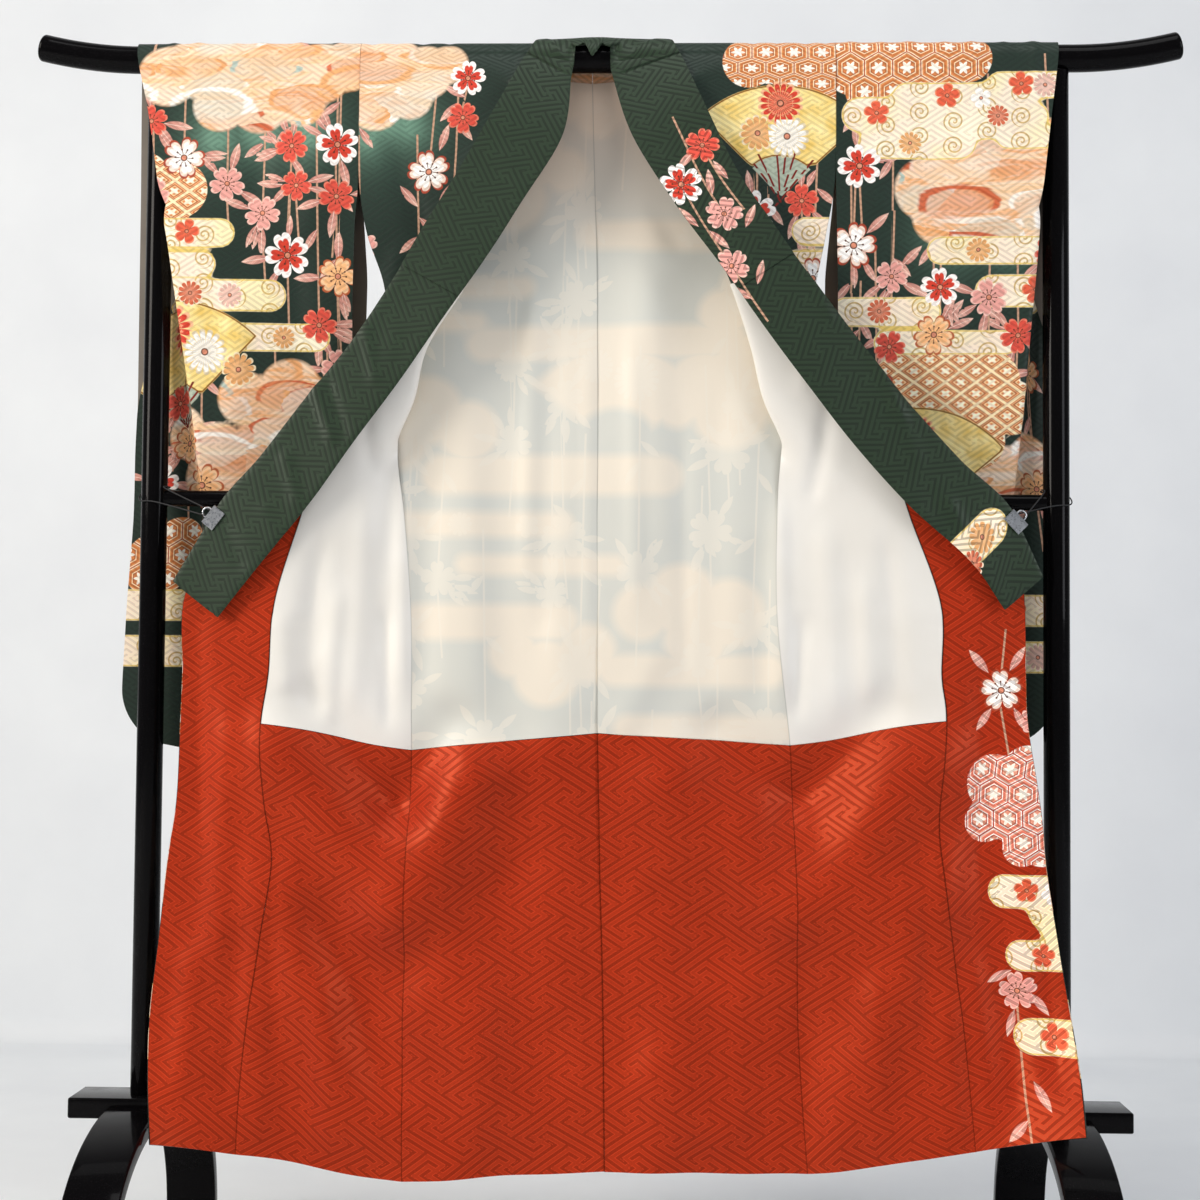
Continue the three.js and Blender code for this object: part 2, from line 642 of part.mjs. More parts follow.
let middle = solid(
  rod(rail.radius, 2 * post.x, 20).rotateZ(Math.PI / 2).translate(0, 0, rail.height),
);
for (const sign of [-1, 1]) {
  const socket = rod(post.radius + 0.3, 4 * rail.radius, 28)
    .rotateX(Math.PI / 2)
    .translate(sign * post.x, 0, rail.height);
  const beyond = new THREE.BoxGeometry(40, 60, 60).translate(sign * (post.x + 20), 0, rail.height);
  middle = middle.subtract(solid(socket)).subtract(solid(beyond));
}
add("middle_rail", fromSolid(middle), "lacquer");

// Feet: planks bent into an arch from front to back, their ends standing flat on the floor.
function footArch(grow) {
  const steps = 12;
  const curve = (reach, height) =>
    spread(0, Math.PI, 2 * steps).map((angle) => {
      const share = 2 / foot.power;
      const y = reach * Math.sign(Math.cos(angle)) * Math.abs(Math.cos(angle)) ** share;
      return new THREE.Vector2(y, height * Math.abs(Math.sin(angle)) ** share);
    });
  const outer = curve(foot.reach + grow, foot.top + grow);
  const inner = curve(foot.reach - foot.thick - grow, foot.top - foot.thick - grow).reverse();
  const shape = new THREE.Shape([...outer, ...inner]);
  const wide = foot.wide + 2 * grow;
  return new THREE.ExtrudeGeometry(shape, { depth: wide, bevelEnabled: false, steps: 1 })
    .translate(0, 0, -wide / 2)
    .applyMatrix4(new THREE.Matrix4().makeBasis(
      new THREE.Vector3(0, 1, 0), new THREE.Vector3(0, 0, 1), new THREE.Vector3(1, 0, 0)));
}

let board = solid(
  new THREE.BoxGeometry(2 * beam.reach, beam.depth, beam.thick).translate(0, 0, beam.top - beam.thick / 2),
);
for (const side of ["right", "left"]) {
  const x = sideSign[side] * post.x;
  add(`foot_${side}`, footArch(0).translate(x, 0, 0), "lacquer");
  board = board.subtract(solid(footArch(0.3).translate(x, 0, 0)));
}
add("bottom_beam", fromSolid(board), "lacquer");

// ---- clips --------------------------------------------------------------------------------
// A sprung steel clip on each collar edge, with a thin elastic loop round the post and the rail.
const clip = { wide: 31, grip: 15, wall: 1.2, slot: 10.2, seat: 3.1, cord: 1 };

function tube(points, radius, steps) {
  const path = new THREE.CatmullRomCurve3(points);
  const section = new THREE.Shape().absarc(0, 0, radius, 0, Math.PI * 2);
  return new THREE.ExtrudeGeometry(section, { steps, curveSegments: 3, extrudePath: path });
}

for (const side of ["right", "left"]) {
  const sign = sideSign[side];
  const [seatOuter, seatInner] = collarSides(side, 9.05);
  const [aheadOuter] = collarSides(side, 8.9);
  const outward = seatOuter.clone().sub(seatInner).normalize();
  const depth = aheadOuter.clone().sub(seatOuter).cross(outward).normalize();
  if (depth.y > 0) depth.negate();
  const across = outward.clone().cross(depth);
  const half = clip.slot / 2;
  const profile = new THREE.Shape([
    new THREE.Vector2(-clip.grip, half),
    new THREE.Vector2(1.5, half + 1.6),
    new THREE.Vector2(1.5 + clip.wall, 0),
    new THREE.Vector2(1.5, -half - 1.6),
    new THREE.Vector2(-clip.grip, -half),
    new THREE.Vector2(-clip.grip, -half - clip.wall),
    new THREE.Vector2(1.8, -half - 1.6 - clip.wall),
    new THREE.Vector2(7, -half + 1),
    new THREE.Vector2(7, half - 1),
    new THREE.Vector2(1.8, half + 1.6 + clip.wall),
    new THREE.Vector2(-clip.grip, half + clip.wall),
  ]);
  const basis = new THREE.Matrix4().makeBasis(outward, depth, across);
  const seat = seatOuter.clone().addScaledVector(depth, -clip.seat);
  const jaws = new THREE.ExtrudeGeometry(profile, { depth: clip.wide, bevelEnabled: false, steps: 1 })
    .translate(0, 0, -clip.wide / 2)
    .applyMatrix4(basis)
    .translate(seat.x, seat.y, seat.z);
  const away = post.radius + clip.cord + 1.2;
  const tail = (offset) => seat.clone().addScaledVector(outward, 5).addScaledVector(across, offset);
  const low = seat.z + 24;
  const high = rail.height + rail.radius + 5;
  const px = sign * post.x;
  const loop = [
    tail(-5),
    new THREE.Vector3(px - sign * 10, -away - 6, low),
    new THREE.Vector3(px + sign * away * 0.75, -away * 0.75, low + 3),
    new THREE.Vector3(px + sign * away * 1.05, 3, (low + high) / 2),
    new THREE.Vector3(px + sign * away * 0.7, away * 0.75, high - 2),
    new THREE.Vector3(px, away * 1.04, high),
    new THREE.Vector3(px - sign * away * 0.75, away * 0.75, high),
    new THREE.Vector3(px - sign * away * 1.08, 0, high),
    new THREE.Vector3(px - sign * away * 1.0, -away * 0.9, high - 4),
    tail(5),
  ];
  const cord = tube(loop, clip.cord, 36);
  add(`clip_${side}`, fromSolid(solid(jaws).add(solid(cord))), "steel");
}

export default group;
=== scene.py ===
"""A long-sleeved ceremonial kimono (furisode), hung open on a lacquered clothes stand.
Tables are in millimetres: +X to the wearer's left, -Y to the front, +Z up. Meshes are in metres."""

import math

import bpy
import numpy as np
from mathutils import Matrix


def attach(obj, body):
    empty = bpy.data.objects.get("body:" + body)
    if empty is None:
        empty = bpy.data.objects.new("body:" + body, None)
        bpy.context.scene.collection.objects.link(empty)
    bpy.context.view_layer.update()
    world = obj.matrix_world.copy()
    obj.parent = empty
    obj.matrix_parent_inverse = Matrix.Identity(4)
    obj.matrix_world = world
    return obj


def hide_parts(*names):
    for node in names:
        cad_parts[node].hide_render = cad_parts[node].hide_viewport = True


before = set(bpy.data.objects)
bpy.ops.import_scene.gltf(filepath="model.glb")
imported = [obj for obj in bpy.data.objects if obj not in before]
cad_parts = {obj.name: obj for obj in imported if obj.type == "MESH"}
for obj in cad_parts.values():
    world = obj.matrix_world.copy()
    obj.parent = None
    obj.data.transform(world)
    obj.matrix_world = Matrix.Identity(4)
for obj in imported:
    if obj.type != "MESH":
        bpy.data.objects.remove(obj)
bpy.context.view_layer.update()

# ---- Studio -------------------------------------------------------------------------------
# A pale floor and a one-sided wall in one sweep, large soft lights in front and above, and a camera
# straight before the stand at a little less than half its height.
camera_place = (94.4, -3013.8, 871.1)
camera_yaw, camera_pitch, camera_roll = np.radians([-1.832, 2.6386, 0.4661])
ahead = np.array([math.sin(camera_yaw) * math.cos(camera_pitch),
                  math.cos(camera_yaw) * math.cos(camera_pitch), math.sin(camera_pitch)])
level = np.array([math.cos(camera_yaw), -math.sin(camera_yaw), 0])
upward = np.cross(level, ahead)
right_hand = level * math.cos(camera_roll) + upward * math.sin(camera_roll)
head = upward * math.cos(camera_roll) - level * math.sin(camera_roll)
lens = bpy.data.cameras.new("camera")
lens.lens, lens.sensor_width = 60.66, 36
lens.clip_start, lens.clip_end = 0.05, 60
camera = bpy.data.objects.new("camera", lens)
camera.matrix_world = Matrix([[*row, place / 1000] for row, place in
                              zip(np.stack([right_hand, head, -ahead], 1).tolist(), camera_place)]
                             + [[0, 0, 0, 1]])
bpy.context.collection.objects.link(camera)
bpy.context.scene.camera = camera
bpy.context.scene.view_settings.view_transform = "Standard"


def colour(code):
    """A hex colour as linear red, green, blue and a full alpha."""
    channels = [int(code[i:i + 2], 16) / 255 for i in (0, 2, 4)]
    return [*(c / 12.92 if c < 0.04045 else ((c + 0.055) / 1.055) ** 2.4 for c in channels), 1.0]


class Finish:
    """A material, and short calls that add one node each and give back its output."""

    def __init__(self, name, **settings):
        self.material = bpy.data.materials.new(name)
        self.material.use_nodes = True
        self.nodes = self.material.node_tree.nodes
        self.links = self.material.node_tree.links
        self.shader = self.nodes["Principled BSDF"]
        for socket, value in settings.items():
            self.shader.inputs[socket.replace("_", " ").title().replace("Ior", "IOR")].default_value = value

    def feed(self, socket, value):
        if isinstance(value, bpy.types.NodeSocket):
            self.links.new(value, socket)
        elif value is not None:
            socket.default_value = value

    def add(self, kind, *values, out=0, **settings):
        node = self.nodes.new("ShaderNode" + kind)
        for key, value in settings.items():
            setattr(node, key, value)
        for socket, value in zip(node.inputs, values):
            self.feed(socket, value)
        return node.outputs[out]

    def math(self, operation, a, b=0.0, c=0.0, clamp=False):
        return self.add("Math", a, b, c, operation=operation, use_clamp=clamp)

    def blend(self, share, a, b):
        node = self.nodes.new("ShaderNodeMix")
        node.data_type = "RGBA"
        for index, value in ((0, share), (6, a), (7, b)):
            self.feed(node.inputs[index], value)
        return node.outputs[2]

    def times(self, a, b):
        """The product of two colours."""
        product = self.blend(1.0, a, b)
        product.node.blend_type = "MULTIPLY"
        return product

    def shift(self, share, a, b):
        node = self.nodes.new("ShaderNodeMix")
        for index, value in ((0, share), (2, a), (3, b)):
            self.feed(node.inputs[index], value)
        return node.outputs[0]

    def ramp(self, value, stops, stepped=False):
        node = self.nodes.new("ShaderNodeValToRGB")
        bar = node.color_ramp
        bar.interpolation = "CONSTANT" if stepped else "LINEAR"
        while len(bar.elements) < len(stops):
            bar.elements.new(1)
        for element, (place, tint) in zip(bar.elements, stops):
            element.position = place
        for element, (place, tint) in zip(bar.elements, stops):
            element.color = tint if hasattr(tint, "__len__") else (tint, tint, tint, 1)
        self.feed(node.inputs[0], value)
        return node.outputs[0]

    def curve(self, value, points):
        node = self.nodes.new("ShaderNodeFloatCurve")
        line = node.mapping.curves[0]
        line.points[0].location, line.points[1].location = points[0], points[-1]
        for point in points[1:-1]:
            line.points.new(*point)
        node.mapping.update()
        self.feed(node.inputs[1], value)
        return node.outputs[0]

    def inside(self, distance, edge=0.0, soft=1.0):
        """1 where distance is below edge, 0 above, over a step soft wide."""
        if isinstance(edge, bpy.types.NodeSocket):
            distance, edge = self.math("SUBTRACT", distance, edge), 0.0
        return self.math("MULTIPLY_ADD", distance, -1 / soft, 0.5 + edge / soft, clamp=True)

    def noise(self, place, scale, detail, stretch=None):
        """Noise over a place, which stretch first scales along its three axes."""
        if stretch:
            place = self.add("Mapping", place, None, None, stretch)
        return self.add("TexNoise", place, None, scale, detail)

    def to(self, socket, value):
        self.feed(self.shader.inputs[socket], value)

    def relief(self, height, strength, distance):
        """Raises the surface by a height, in its shading alone."""
        node = self.nodes.new("ShaderNodeBump")
        node.inputs["Strength"].default_value, node.inputs["Distance"].default_value = strength, distance
        self.feed(node.inputs["Height"], height)
        self.to("Normal", node.outputs[0])


def loose_object(name, verts, faces, material):
    """A mesh object from arrays in millimetres, at the origin."""
    name = name.replace(" ", "_")
    mesh = bpy.data.meshes.new(name)
    mesh.from_pydata(np.asarray(verts, float) / 1000, [], faces)
    mesh.polygons.foreach_set("use_smooth", np.full(len(mesh.polygons), True))
    for m in material if isinstance(material, list) else [material]:
        mesh.materials.append(m)
    mesh.update()
    made = bpy.data.objects.new(name, mesh)
    bpy.context.collection.objects.link(made)
    return made


plaster = Finish("studio plaster", base_color=colour("eef0f2"), roughness=0.9)
grain = plaster.noise(plaster.add("TexCoord", out=3), 3.0, 4.0)
plaster.to("Base Color", plaster.ramp(grain, [(0.3, colour("e6e9ec")), (0.7, colour("edf0f2"))]))
from_behind = plaster.add("NewGeometry", out=6)
one_sided = plaster.add("MixShader", from_behind, plaster.shader.outputs[0], plaster.add("BsdfTransparent"))
plaster.links.new(one_sided, plaster.nodes["Material Output"].inputs["Surface"])
reach, wall_y, wall_top, cove = 9000, 2000, 6000, 60
cove_turn = np.linspace(0, np.pi / 2, 9)
sweep_y = np.concatenate([[-reach], wall_y - cove + cove * np.sin(cove_turn), [wall_y]])
sweep_z = np.concatenate([[0], cove - cove * np.cos(cove_turn), [wall_top]])
studio_verts = [(x, y, z) for y, z in zip(sweep_y, sweep_z) for x in (-reach, reach)]
studio_faces = [(2 * i, 2 * i + 1, 2 * i + 3, 2 * i + 2) for i in range(len(sweep_y) - 1)]
studio = loose_object("studio", studio_verts, studio_faces, plaster.material)


def soft_light(name, place, aim, size, power, tint="ffffff"):
    """A rectangular lamp at place, turned to aim."""
    lamp = bpy.data.lights.new(name, "AREA")
    lamp.shape, lamp.size, lamp.size_y = "RECTANGLE", size[0], size[1]
    lamp.energy, lamp.color = power, colour(tint)[:3]
    holder = bpy.data.objects.new(name, lamp)
    towards = np.array(aim, float) - place
    towards /= np.linalg.norm(towards)
    side = np.cross(towards, (0, 0, 1))
    side /= np.linalg.norm(side)
    rise = np.cross(side, towards)
    holder.matrix_world = Matrix([[*row, p] for row, p in
                                  zip(np.stack([side, rise, -towards], 1).tolist(), place)] + [[0, 0, 0, 1]])
    bpy.context.collection.objects.link(holder)


soft_light("window light", (-3.3, -1.9, 2.6), (0, 0, 1.0), (1.3, 2.0), 124, "fff8ef")
soft_light("fill light", (3.3, -1.9, 2.0), (0, 0, 1.0), (1.2, 2.0), 48, "f6f8ff")
soft_light("ceiling light", (0.1, -1.1, 3.7), (0, 0.1, 0.4), (2.6, 1.2), 30)
soft_light("wall light", (0, 0.7, 3.4), (0, 2.0, 1.0), (4.0, 0.8), 6)
world = bpy.data.worlds.new("room")
bpy.context.scene.world = world
world.use_nodes = True
world.node_tree.nodes["Background"].inputs[0].default_value = colour("f4f6fa")
world.node_tree.nodes["Background"].inputs[1].default_value = 0.27

# ---- Clothes stand ------------------------------------------------------------------------
# Turned and bent hardwood under many coats of black lacquer: a round bar with swept-up ends, two posts,
# a thin rail, a bevelled board and two bent feet, pegged and glued into each other.
lacquer = Finish("black lacquer", base_color=colour("0a090a"), roughness=0.16, coat_weight=0.14,
                 coat_roughness=0.03, coat_ior=1.33, specular_ior_level=0.04)
wood = lacquer.add("TexCoord", out=3)
orange_peel = lacquer.noise(wood, 34.0, 3.0)
dust = lacquer.noise(wood, 420.0, 2.0)
lacquer.to("Roughness", lacquer.ramp(orange_peel, [(0.35, 0.1), (0.7, 0.2)]))
lacquer.to("Base Color", lacquer.ramp(dust, [(0.55, colour("080708")), (0.8, colour("141214"))]))
lacquer.relief(orange_peel, 0.03, 0.002)


def loft(name, rings, material):
    """A closed body through rings of points, its two ends filled; faces are turned to point out."""
    n, m, _ = rings.shape
    k = np.arange(n * m).reshape(n, m)
    a, b = k[:-1], np.roll(k, -1, 1)[:-1]
    quads = np.stack([a, b, np.roll(k, -1, 1)[1:], k[1:]], -1).reshape(-1, 4)
    p = rings.reshape(-1, 3)
    d = p[quads]
    middle = p.mean(0)
    volume = np.einsum("ij,ij->", d[:, 0] - middle, np.cross(d[:, 1] - middle, d[:, 2] - middle)
                       + np.cross(d[:, 2] - middle, d[:, 3] - middle))
    faces = quads.tolist() + [k[0, ::-1].tolist(), k[-1].tolist()]
    if volume < 0:
        faces = [f[::-1] for f in faces]
    return loose_object(name, p, faces, material)


def lacquered(part, rings, node):
    """A part of the stand lofted through rings in place of a solid, its edges left crisp."""
    made = loft(f"lacquered {part}", rings, lacquer.material)
    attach(made, "root")
    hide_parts(node)
    hard = made.modifiers.new("crisp edges", "EDGE_SPLIT")
    hard.split_angle = math.radians(50)
    return made


def rounded_ends(length, radius, steps=5):
    """Places along a body and the shrink of its section there, for ends with a rounded edge."""
    turn = np.linspace(0, np.pi / 2, steps)
    near, drop = radius * (1 - np.cos(turn)), radius * (1 - np.sin(turn))
    return np.concatenate([near, length - near[::-1]]), np.concatenate([drop, drop[::-1]])


def circle(count):
    return np.linspace(0, 2 * np.pi, count, endpoint=False)


bar_height, bar_radius, bar_reach, bar_straight, bar_lift = 1828, 20.5, 860, 700, 20
spots, shrink = rounded_ends(2 * bar_reach, 5)
x_bar = np.unique(np.concatenate([spots - bar_reach, np.linspace(-bar_reach + 5, bar_reach - 5, 150)]))
r_bar = bar_radius - np.interp(x_bar, spots - bar_reach, shrink)
t_bar = np.clip((abs(x_bar) - bar_straight) / (bar_reach - bar_straight), 0, 1)
tilt = np.arctan(np.sign(x_bar) * 2 * bar_lift * t_bar / (bar_reach - bar_straight))
angle = circle(40)
up = r_bar[:, None] * np.cos(angle)
bar_rings = np.stack([x_bar[:, None] - up * np.sin(tilt)[:, None],
                      r_bar[:, None] * np.sin(angle) + 0 * up,
                      bar_height + (bar_lift * t_bar ** 2)[:, None] + up * np.cos(tilt)[:, None]], -1)
top_bar = lacquered("top bar", bar_rings, "top_bar")

SIGN = {"right": -1, "left": 1}
post_x, post_radius, beam_top, bar_seat, tenon = 675, 19.5, 272, 2, 18
for side, sign in SIGN.items():
    tall = bar_height - bar_seat - beam_top
    spots, shrink = rounded_ends(tall, 1.5, 3)
    rings = np.stack([sign * post_x + (post_radius - shrink)[:, None] * np.cos(angle),
                      (post_radius - shrink)[:, None] * np.sin(angle),
                      beam_top + spots[:, None] + 0 * angle], -1)
    rings[-3:, :, 2] -= tenon
    lacquered(f"post {side}", rings, f"post_{side}")

rail_height, rail_radius = 1159, 12
spots = np.array([-post_x + 10, -post_x + 18, 0, post_x - 18, post_x - 10])
rings = np.stack([spots[:, None] + 0 * angle, rail_radius * np.sin(angle) + 0 * spots[:, None],
                  rail_height + rail_radius * np.cos(angle) + 0 * spots[:, None]], -1)
lacquered("middle rail", rings, "middle_rail")


def rounded_oblong(width, height, radius, corner=6):
    """Points round a rectangle with rounded corners: arcs of a quarter turn at its four corners."""
    turn = np.linspace(0, np.pi / 2, corner)
    parts = []
    for k, (sx, sy) in enumerate(((1, 1), (-1, 1), (-1, -1), (1, -1))):
        a = turn + k * np.pi / 2
        parts.append(np.stack([sx * (width / 2 - radius) + radius * np.cos(a),
                               sy * (height / 2 - radius) + radius * np.sin(a)], -1))
    return np.concatenate(parts)


beam_thick, beam_depth, beam_reach = 30, 89, 776
spots, shrink = rounded_ends(2 * beam_reach, 3)
rings = np.stack([np.concatenate([np.full((24, 1), s - beam_reach),
                                  rounded_oblong(beam_depth - 2 * d, beam_thick - 2 * d, 3.5 - min(d, 3))], 1)
                  for s, d in zip(spots, shrink)])
rings[..., 2] += beam_top - beam_thick / 2
lacquered("bottom board", rings, "bottom_beam")

foot_top, foot_reach, foot_wide, foot_thick, foot_power = 262, 340, 80, 22, 2.4
turn = np.linspace(0, np.pi, 97)


def arch(reach, height):
    """The foot's curve: |y/reach|^2.4 + |z/height|^2.4 = 1, from the front end over to the back end."""
    share = 2 / foot_power
    return np.stack([-reach * np.sign(np.cos(turn)) * abs(np.cos(turn)) ** share,
                     height * np.sin(turn) ** share], -1)


outer_arch, inner_arch = arch(foot_reach, foot_top), arch(foot_reach - foot_thick, foot_top - foot_thick)
section = rounded_oblong(foot_wide, 1, 0.16)
across_share = (section[:, 1] + 0.5)[None, :, None]
foot_profile = inner_arch[:, None] * (1 - across_share) + outer_arch[:, None] * across_share
for side, sign in SIGN.items():
    x = np.broadcast_to(sign * post_x + rounded_oblong(foot_wide, foot_thick, 3.5)[:, 0], foot_profile.shape[:2])
    lacquered(f"foot {side}", np.concatenate([x[..., None], foot_profile], -1), f"foot_{side}")

# ---- Outer silk: back panels --------------------------------------------------------------
# Two straight widths of dark green figured satin, sewn down the centre back and hung over the bar. The
# satin has a key fret woven into it, and painted clouds, mist bands, fans, cherry and plum over it.
hug = bar_radius + 2.7
silk_wall, lining_wall, lining_lift = 1.2, 1.0, 1.6
body_columns = "sideOut sideZ backY frontY foldOut seamOut seamZ seamY edgeOut edgeZ edgeY".split()
body_rows = {
    "right": [
        [369, 1851, 0, 0, 235, 100, 1851, 0, 100, 1851, 0],
        [369, 1828, 23.2, -23.2, 240, 118, 1828, -24, 118, 1828, -24],
        [369, 1745, 24, -27, 130, 160, 1745, -46, 160, 1745, -46],
        [368, 1640, 20, -28, 158, 217, 1640, -54, 217, 1640, -54],
        [355, 1557, 6, -28, 176, 258, 1557, -58, 266, 1557, -60],
        [328, 1477, -9, -25, 205, 296, 1477, -59, 311, 1477, -62],
        [318, 1384, -15, -25, 262, 343, 1384, -60, 371, 1384, -64],
        [311, 1300, -18, -26, 286, 385, 1300, -60, 438, 1300, -64],
        [304, 1216, -20, -26, 332, 418, 1216, -60, 502, 1216, -62],
        [293, 1132, -23, -24, 352, 441, 1132, -60, 571, 1132, -58],
        [283, 1004, -26, -26, 381, 479, 1004, -58, 615, 1004, -52],
        [280, 900, -28, -28, 386, 487, 900, -56, 616, 900, -50],
        [279, 785, -30, -30, 388, 495, 822, -56, 618, 815, -50],
        [280, 690, -32, -32, 388, 489, 711, -57, 621, 709, -52],
        [281, 600, -35, -35, 382, 477, 616, -60, 632, 620, -55],
        [282, 490, -39, -39, 390, 492, 505, -65, 641, 510, -61],
        [283, 380, -47, -47, 398, 506, 400, -70, 649, 405, -72],
        [282, 270, -54, -54, 402, 515, 300, -76, 644, 315, -98],
        [280, 163, -59, -59, 404, 519, 203, -84, 629, 228, -140]],
    "left": [
        [345, 1851, 0, 0, 220, 96, 1851, 0, 96, 1851, 0],
        [345, 1828, 23.2, -23.2, 228, 112, 1828, -24, 112, 1828, -24],
        [345, 1745, 24, -27, 112, 149, 1745, -46, 149, 1745, -46],
        [344, 1640, 20, -28, 136, 199, 1640, -54, 199, 1640, -54],
        [331, 1557, 6, -28, 156, 246, 1557, -58, 254, 1557, -60],
        [315, 1477, -9, -25, 190, 295, 1477, -59, 310, 1477, -62],
        [297, 1384, -15, -25, 222, 352, 1384, -60, 381, 1384, -64],
        [280, 1300, -18, -26, 248, 393, 1300, -60, 447, 1300, -64],
        [265, 1216, -20, -26, 302, 425, 1216, -60, 523, 1216, -62],
        [260, 1132, -23, -24, 345, 452, 1132, -60, 605, 1132, -58],
        [260, 1004, -26, -26, 379, 497, 1004, -58, 619, 1004, -52],
        [268, 900, -28, -28, 384, 499, 900, -56, 621, 900, -50],
        [280, 797, -30, -30, 392, 505, 834, -56, 624, 828, -50],
        [285, 700, -32, -32, 389, 493, 700, -59, 641, 703, -56],
        [288, 610, -35, -35, 393, 499, 611, -64, 647, 625, -62],
        [290, 500, -39, -39, 401, 512, 502, -72, 661, 525, -76],
        [292, 390, -47, -47, 408, 525, 395, -84, 674, 425, -102],
        [298, 285, -54, -54, 415, 533, 300, -100, 680, 340, -146],
        [306, 182, -59, -59, 422, 538, 229, -118, 678, 268, -196]]}
body = {side: dict(zip(body_columns, np.array(rows, float).T)) for side, rows in body_rows.items()}
centre_seam = dict(zip("xyz", np.array([
    [-20, 23.2, 1822], [-20, 23.4, 1796], [-18, 20, 1720], [-15, 15, 1630], [-12, 9, 1550],
    [-10, 3, 1470], [-9, -3, 1384], [-8, -9, 1300], [-7, -15, 1216], [-7, -19, 1132], [-5, -24, 1004],
    [-4, -28, 910], [-3, -31, 812], [0, -34, 700], [2, -37, 610], [6, -42, 500], [9, -48, 390],
    [11, -55, 285], [13, -59, 180]], float).T))


def spline(values, row):
    """A table column at fractional rows: on each interval a cubic with the slopes (next - last)/2."""
    i = np.clip(np.floor(row).astype(int), 0, len(values) - 2)
    t, slope = row - i, np.gradient(values)
    b, c = values[i], values[i + 1]
    return (b + (c - b) * (3 - 2 * t) * t * t + (t ** 3 - 2 * t * t + t) * slope[i]
            + (t ** 3 - t * t) * slope[i + 1])


def ease(t):
    """0 below 0, 1 above 1, and 3t^2 - 2t^3 between."""
    t = np.clip(t, 0, 1)
    return t * t * (3 - 2 * t)


def over_bar(turn, radius=hug):
    """Depth and height on a circle round the bar, at an angle from its crest, + behind."""
    return radius * np.sin(turn), bar_height + radius * np.cos(turn)


def back_form(side, u, row):
    """Back panel, u 0 at the centre seam to 1 at the side: it bends over the bar as far as the neckline
    lets it, then hangs, its depth a straight line from seam to side less three shallow flutes."""
    sign, t = SIGN[side], body[side]
    seam = spline(centre_seam["x"], row) + sign * 0.1
    x = seam + (sign * spline(t["sideOut"], row) - seam) * u
    start = 1.25 + (0.02 - 1.25) * ease(abs(x) / (t["seamOut"][0] + 8))
    quarter = np.pi / 2
    drop = quarter * hug + (bar_height - centre_seam["z"][1]) * (1 - u)
    run = start * hug + (drop - start * hug) * np.clip(row, 0, 1)
    y_bar, z_bar = over_bar(np.minimum(run / hug, quarter))
    z_bar = z_bar - np.maximum(run - quarter * hug, 0)
    flute = 5 * np.sin(3 * np.pi * u) * np.sin(np.pi * u) * np.clip(row - 1, 0, 1)
    y = spline(centre_seam["y"], row) * (1 - u) + spline(t["backY"], row) * u - flute
    z = spline(centre_seam["z"], row) * (1 - u) + spline(t["sideZ"], row) * u
    return np.stack([x, np.where(row <= 1, y_bar, y), np.where(row <= 1, z_bar, z)], -1)


def facing(form, u, v, side):
    """Unit normals of a form, from its slopes along u and v."""
    e = 1e-3
    n = np.cross(form(u + e, v) - form(u - e, v), form(u, v + e) - form(u, v - e))
    return side * n / np.maximum(np.linalg.norm(n, axis=-1, keepdims=True), 1e-12)


def creased(form, side, creases, slack=0.7, seed=0, calm=None, loose=None, puckers=(), forward=False):
    """The form with each crease of the table (from x, z to x, z, height, half width) raised as
    height * exp(-(distance / half width)^2), faded out at both its ends, and with a little slack: five
    slow waves of seeded direction, times loose by u and v. It is raised along the form's normal, or
    straight forward. calm is a share by u and v that holds it all back. puckers (x, from z, height,
    half width) stand up over the bar."""
    waves = np.random.default_rng(seed)
    slow = [(waves.uniform(0.016, 0.05) * math.cos(a), waves.uniform(0.004, 0.018) * math.sin(a),
             waves.uniform(0, 6.28), slack / 2) for a in waves.uniform(-1.1, 1.1, 5)]

    def raised(u, v):
        p = form(u, v)
        x, z = p[..., 0], p[..., 2]
        h = sum(a * np.sin(kx * x + kz * z + f) for kx, kz, f, a in slow)
        h = h * loose(u, v) if loose else h
        for x0, z0, x1, z1, height, wide in creases:
            dx, dz = x1 - x0, z1 - z0
            far = math.hypot(dx, dz)
            s = ((x - x0) * dx + (z - z0) * dz) / far ** 2
            d = ((x - x0) * dz - (z - z0) * dx) / far
            h = h + height * np.exp(-(d / wide) ** 2) * ease(s / 0.22) * ease((1 - s) / 0.22)
        if calm is not None:
            h = h * calm(u, v)
        bumps = sum(height * np.exp(-((x - x0) / wide) ** 2) * ease((z - low) / 60) for x0, low, height,
                    wide in puckers)
        n = facing(form, u, v, side)
        if forward:
            return p + n * (bumps + 0 * h)[..., None] + h[..., None] * (0, -1, 0)
        return p + n * (h + bumps)[..., None]

    return raised


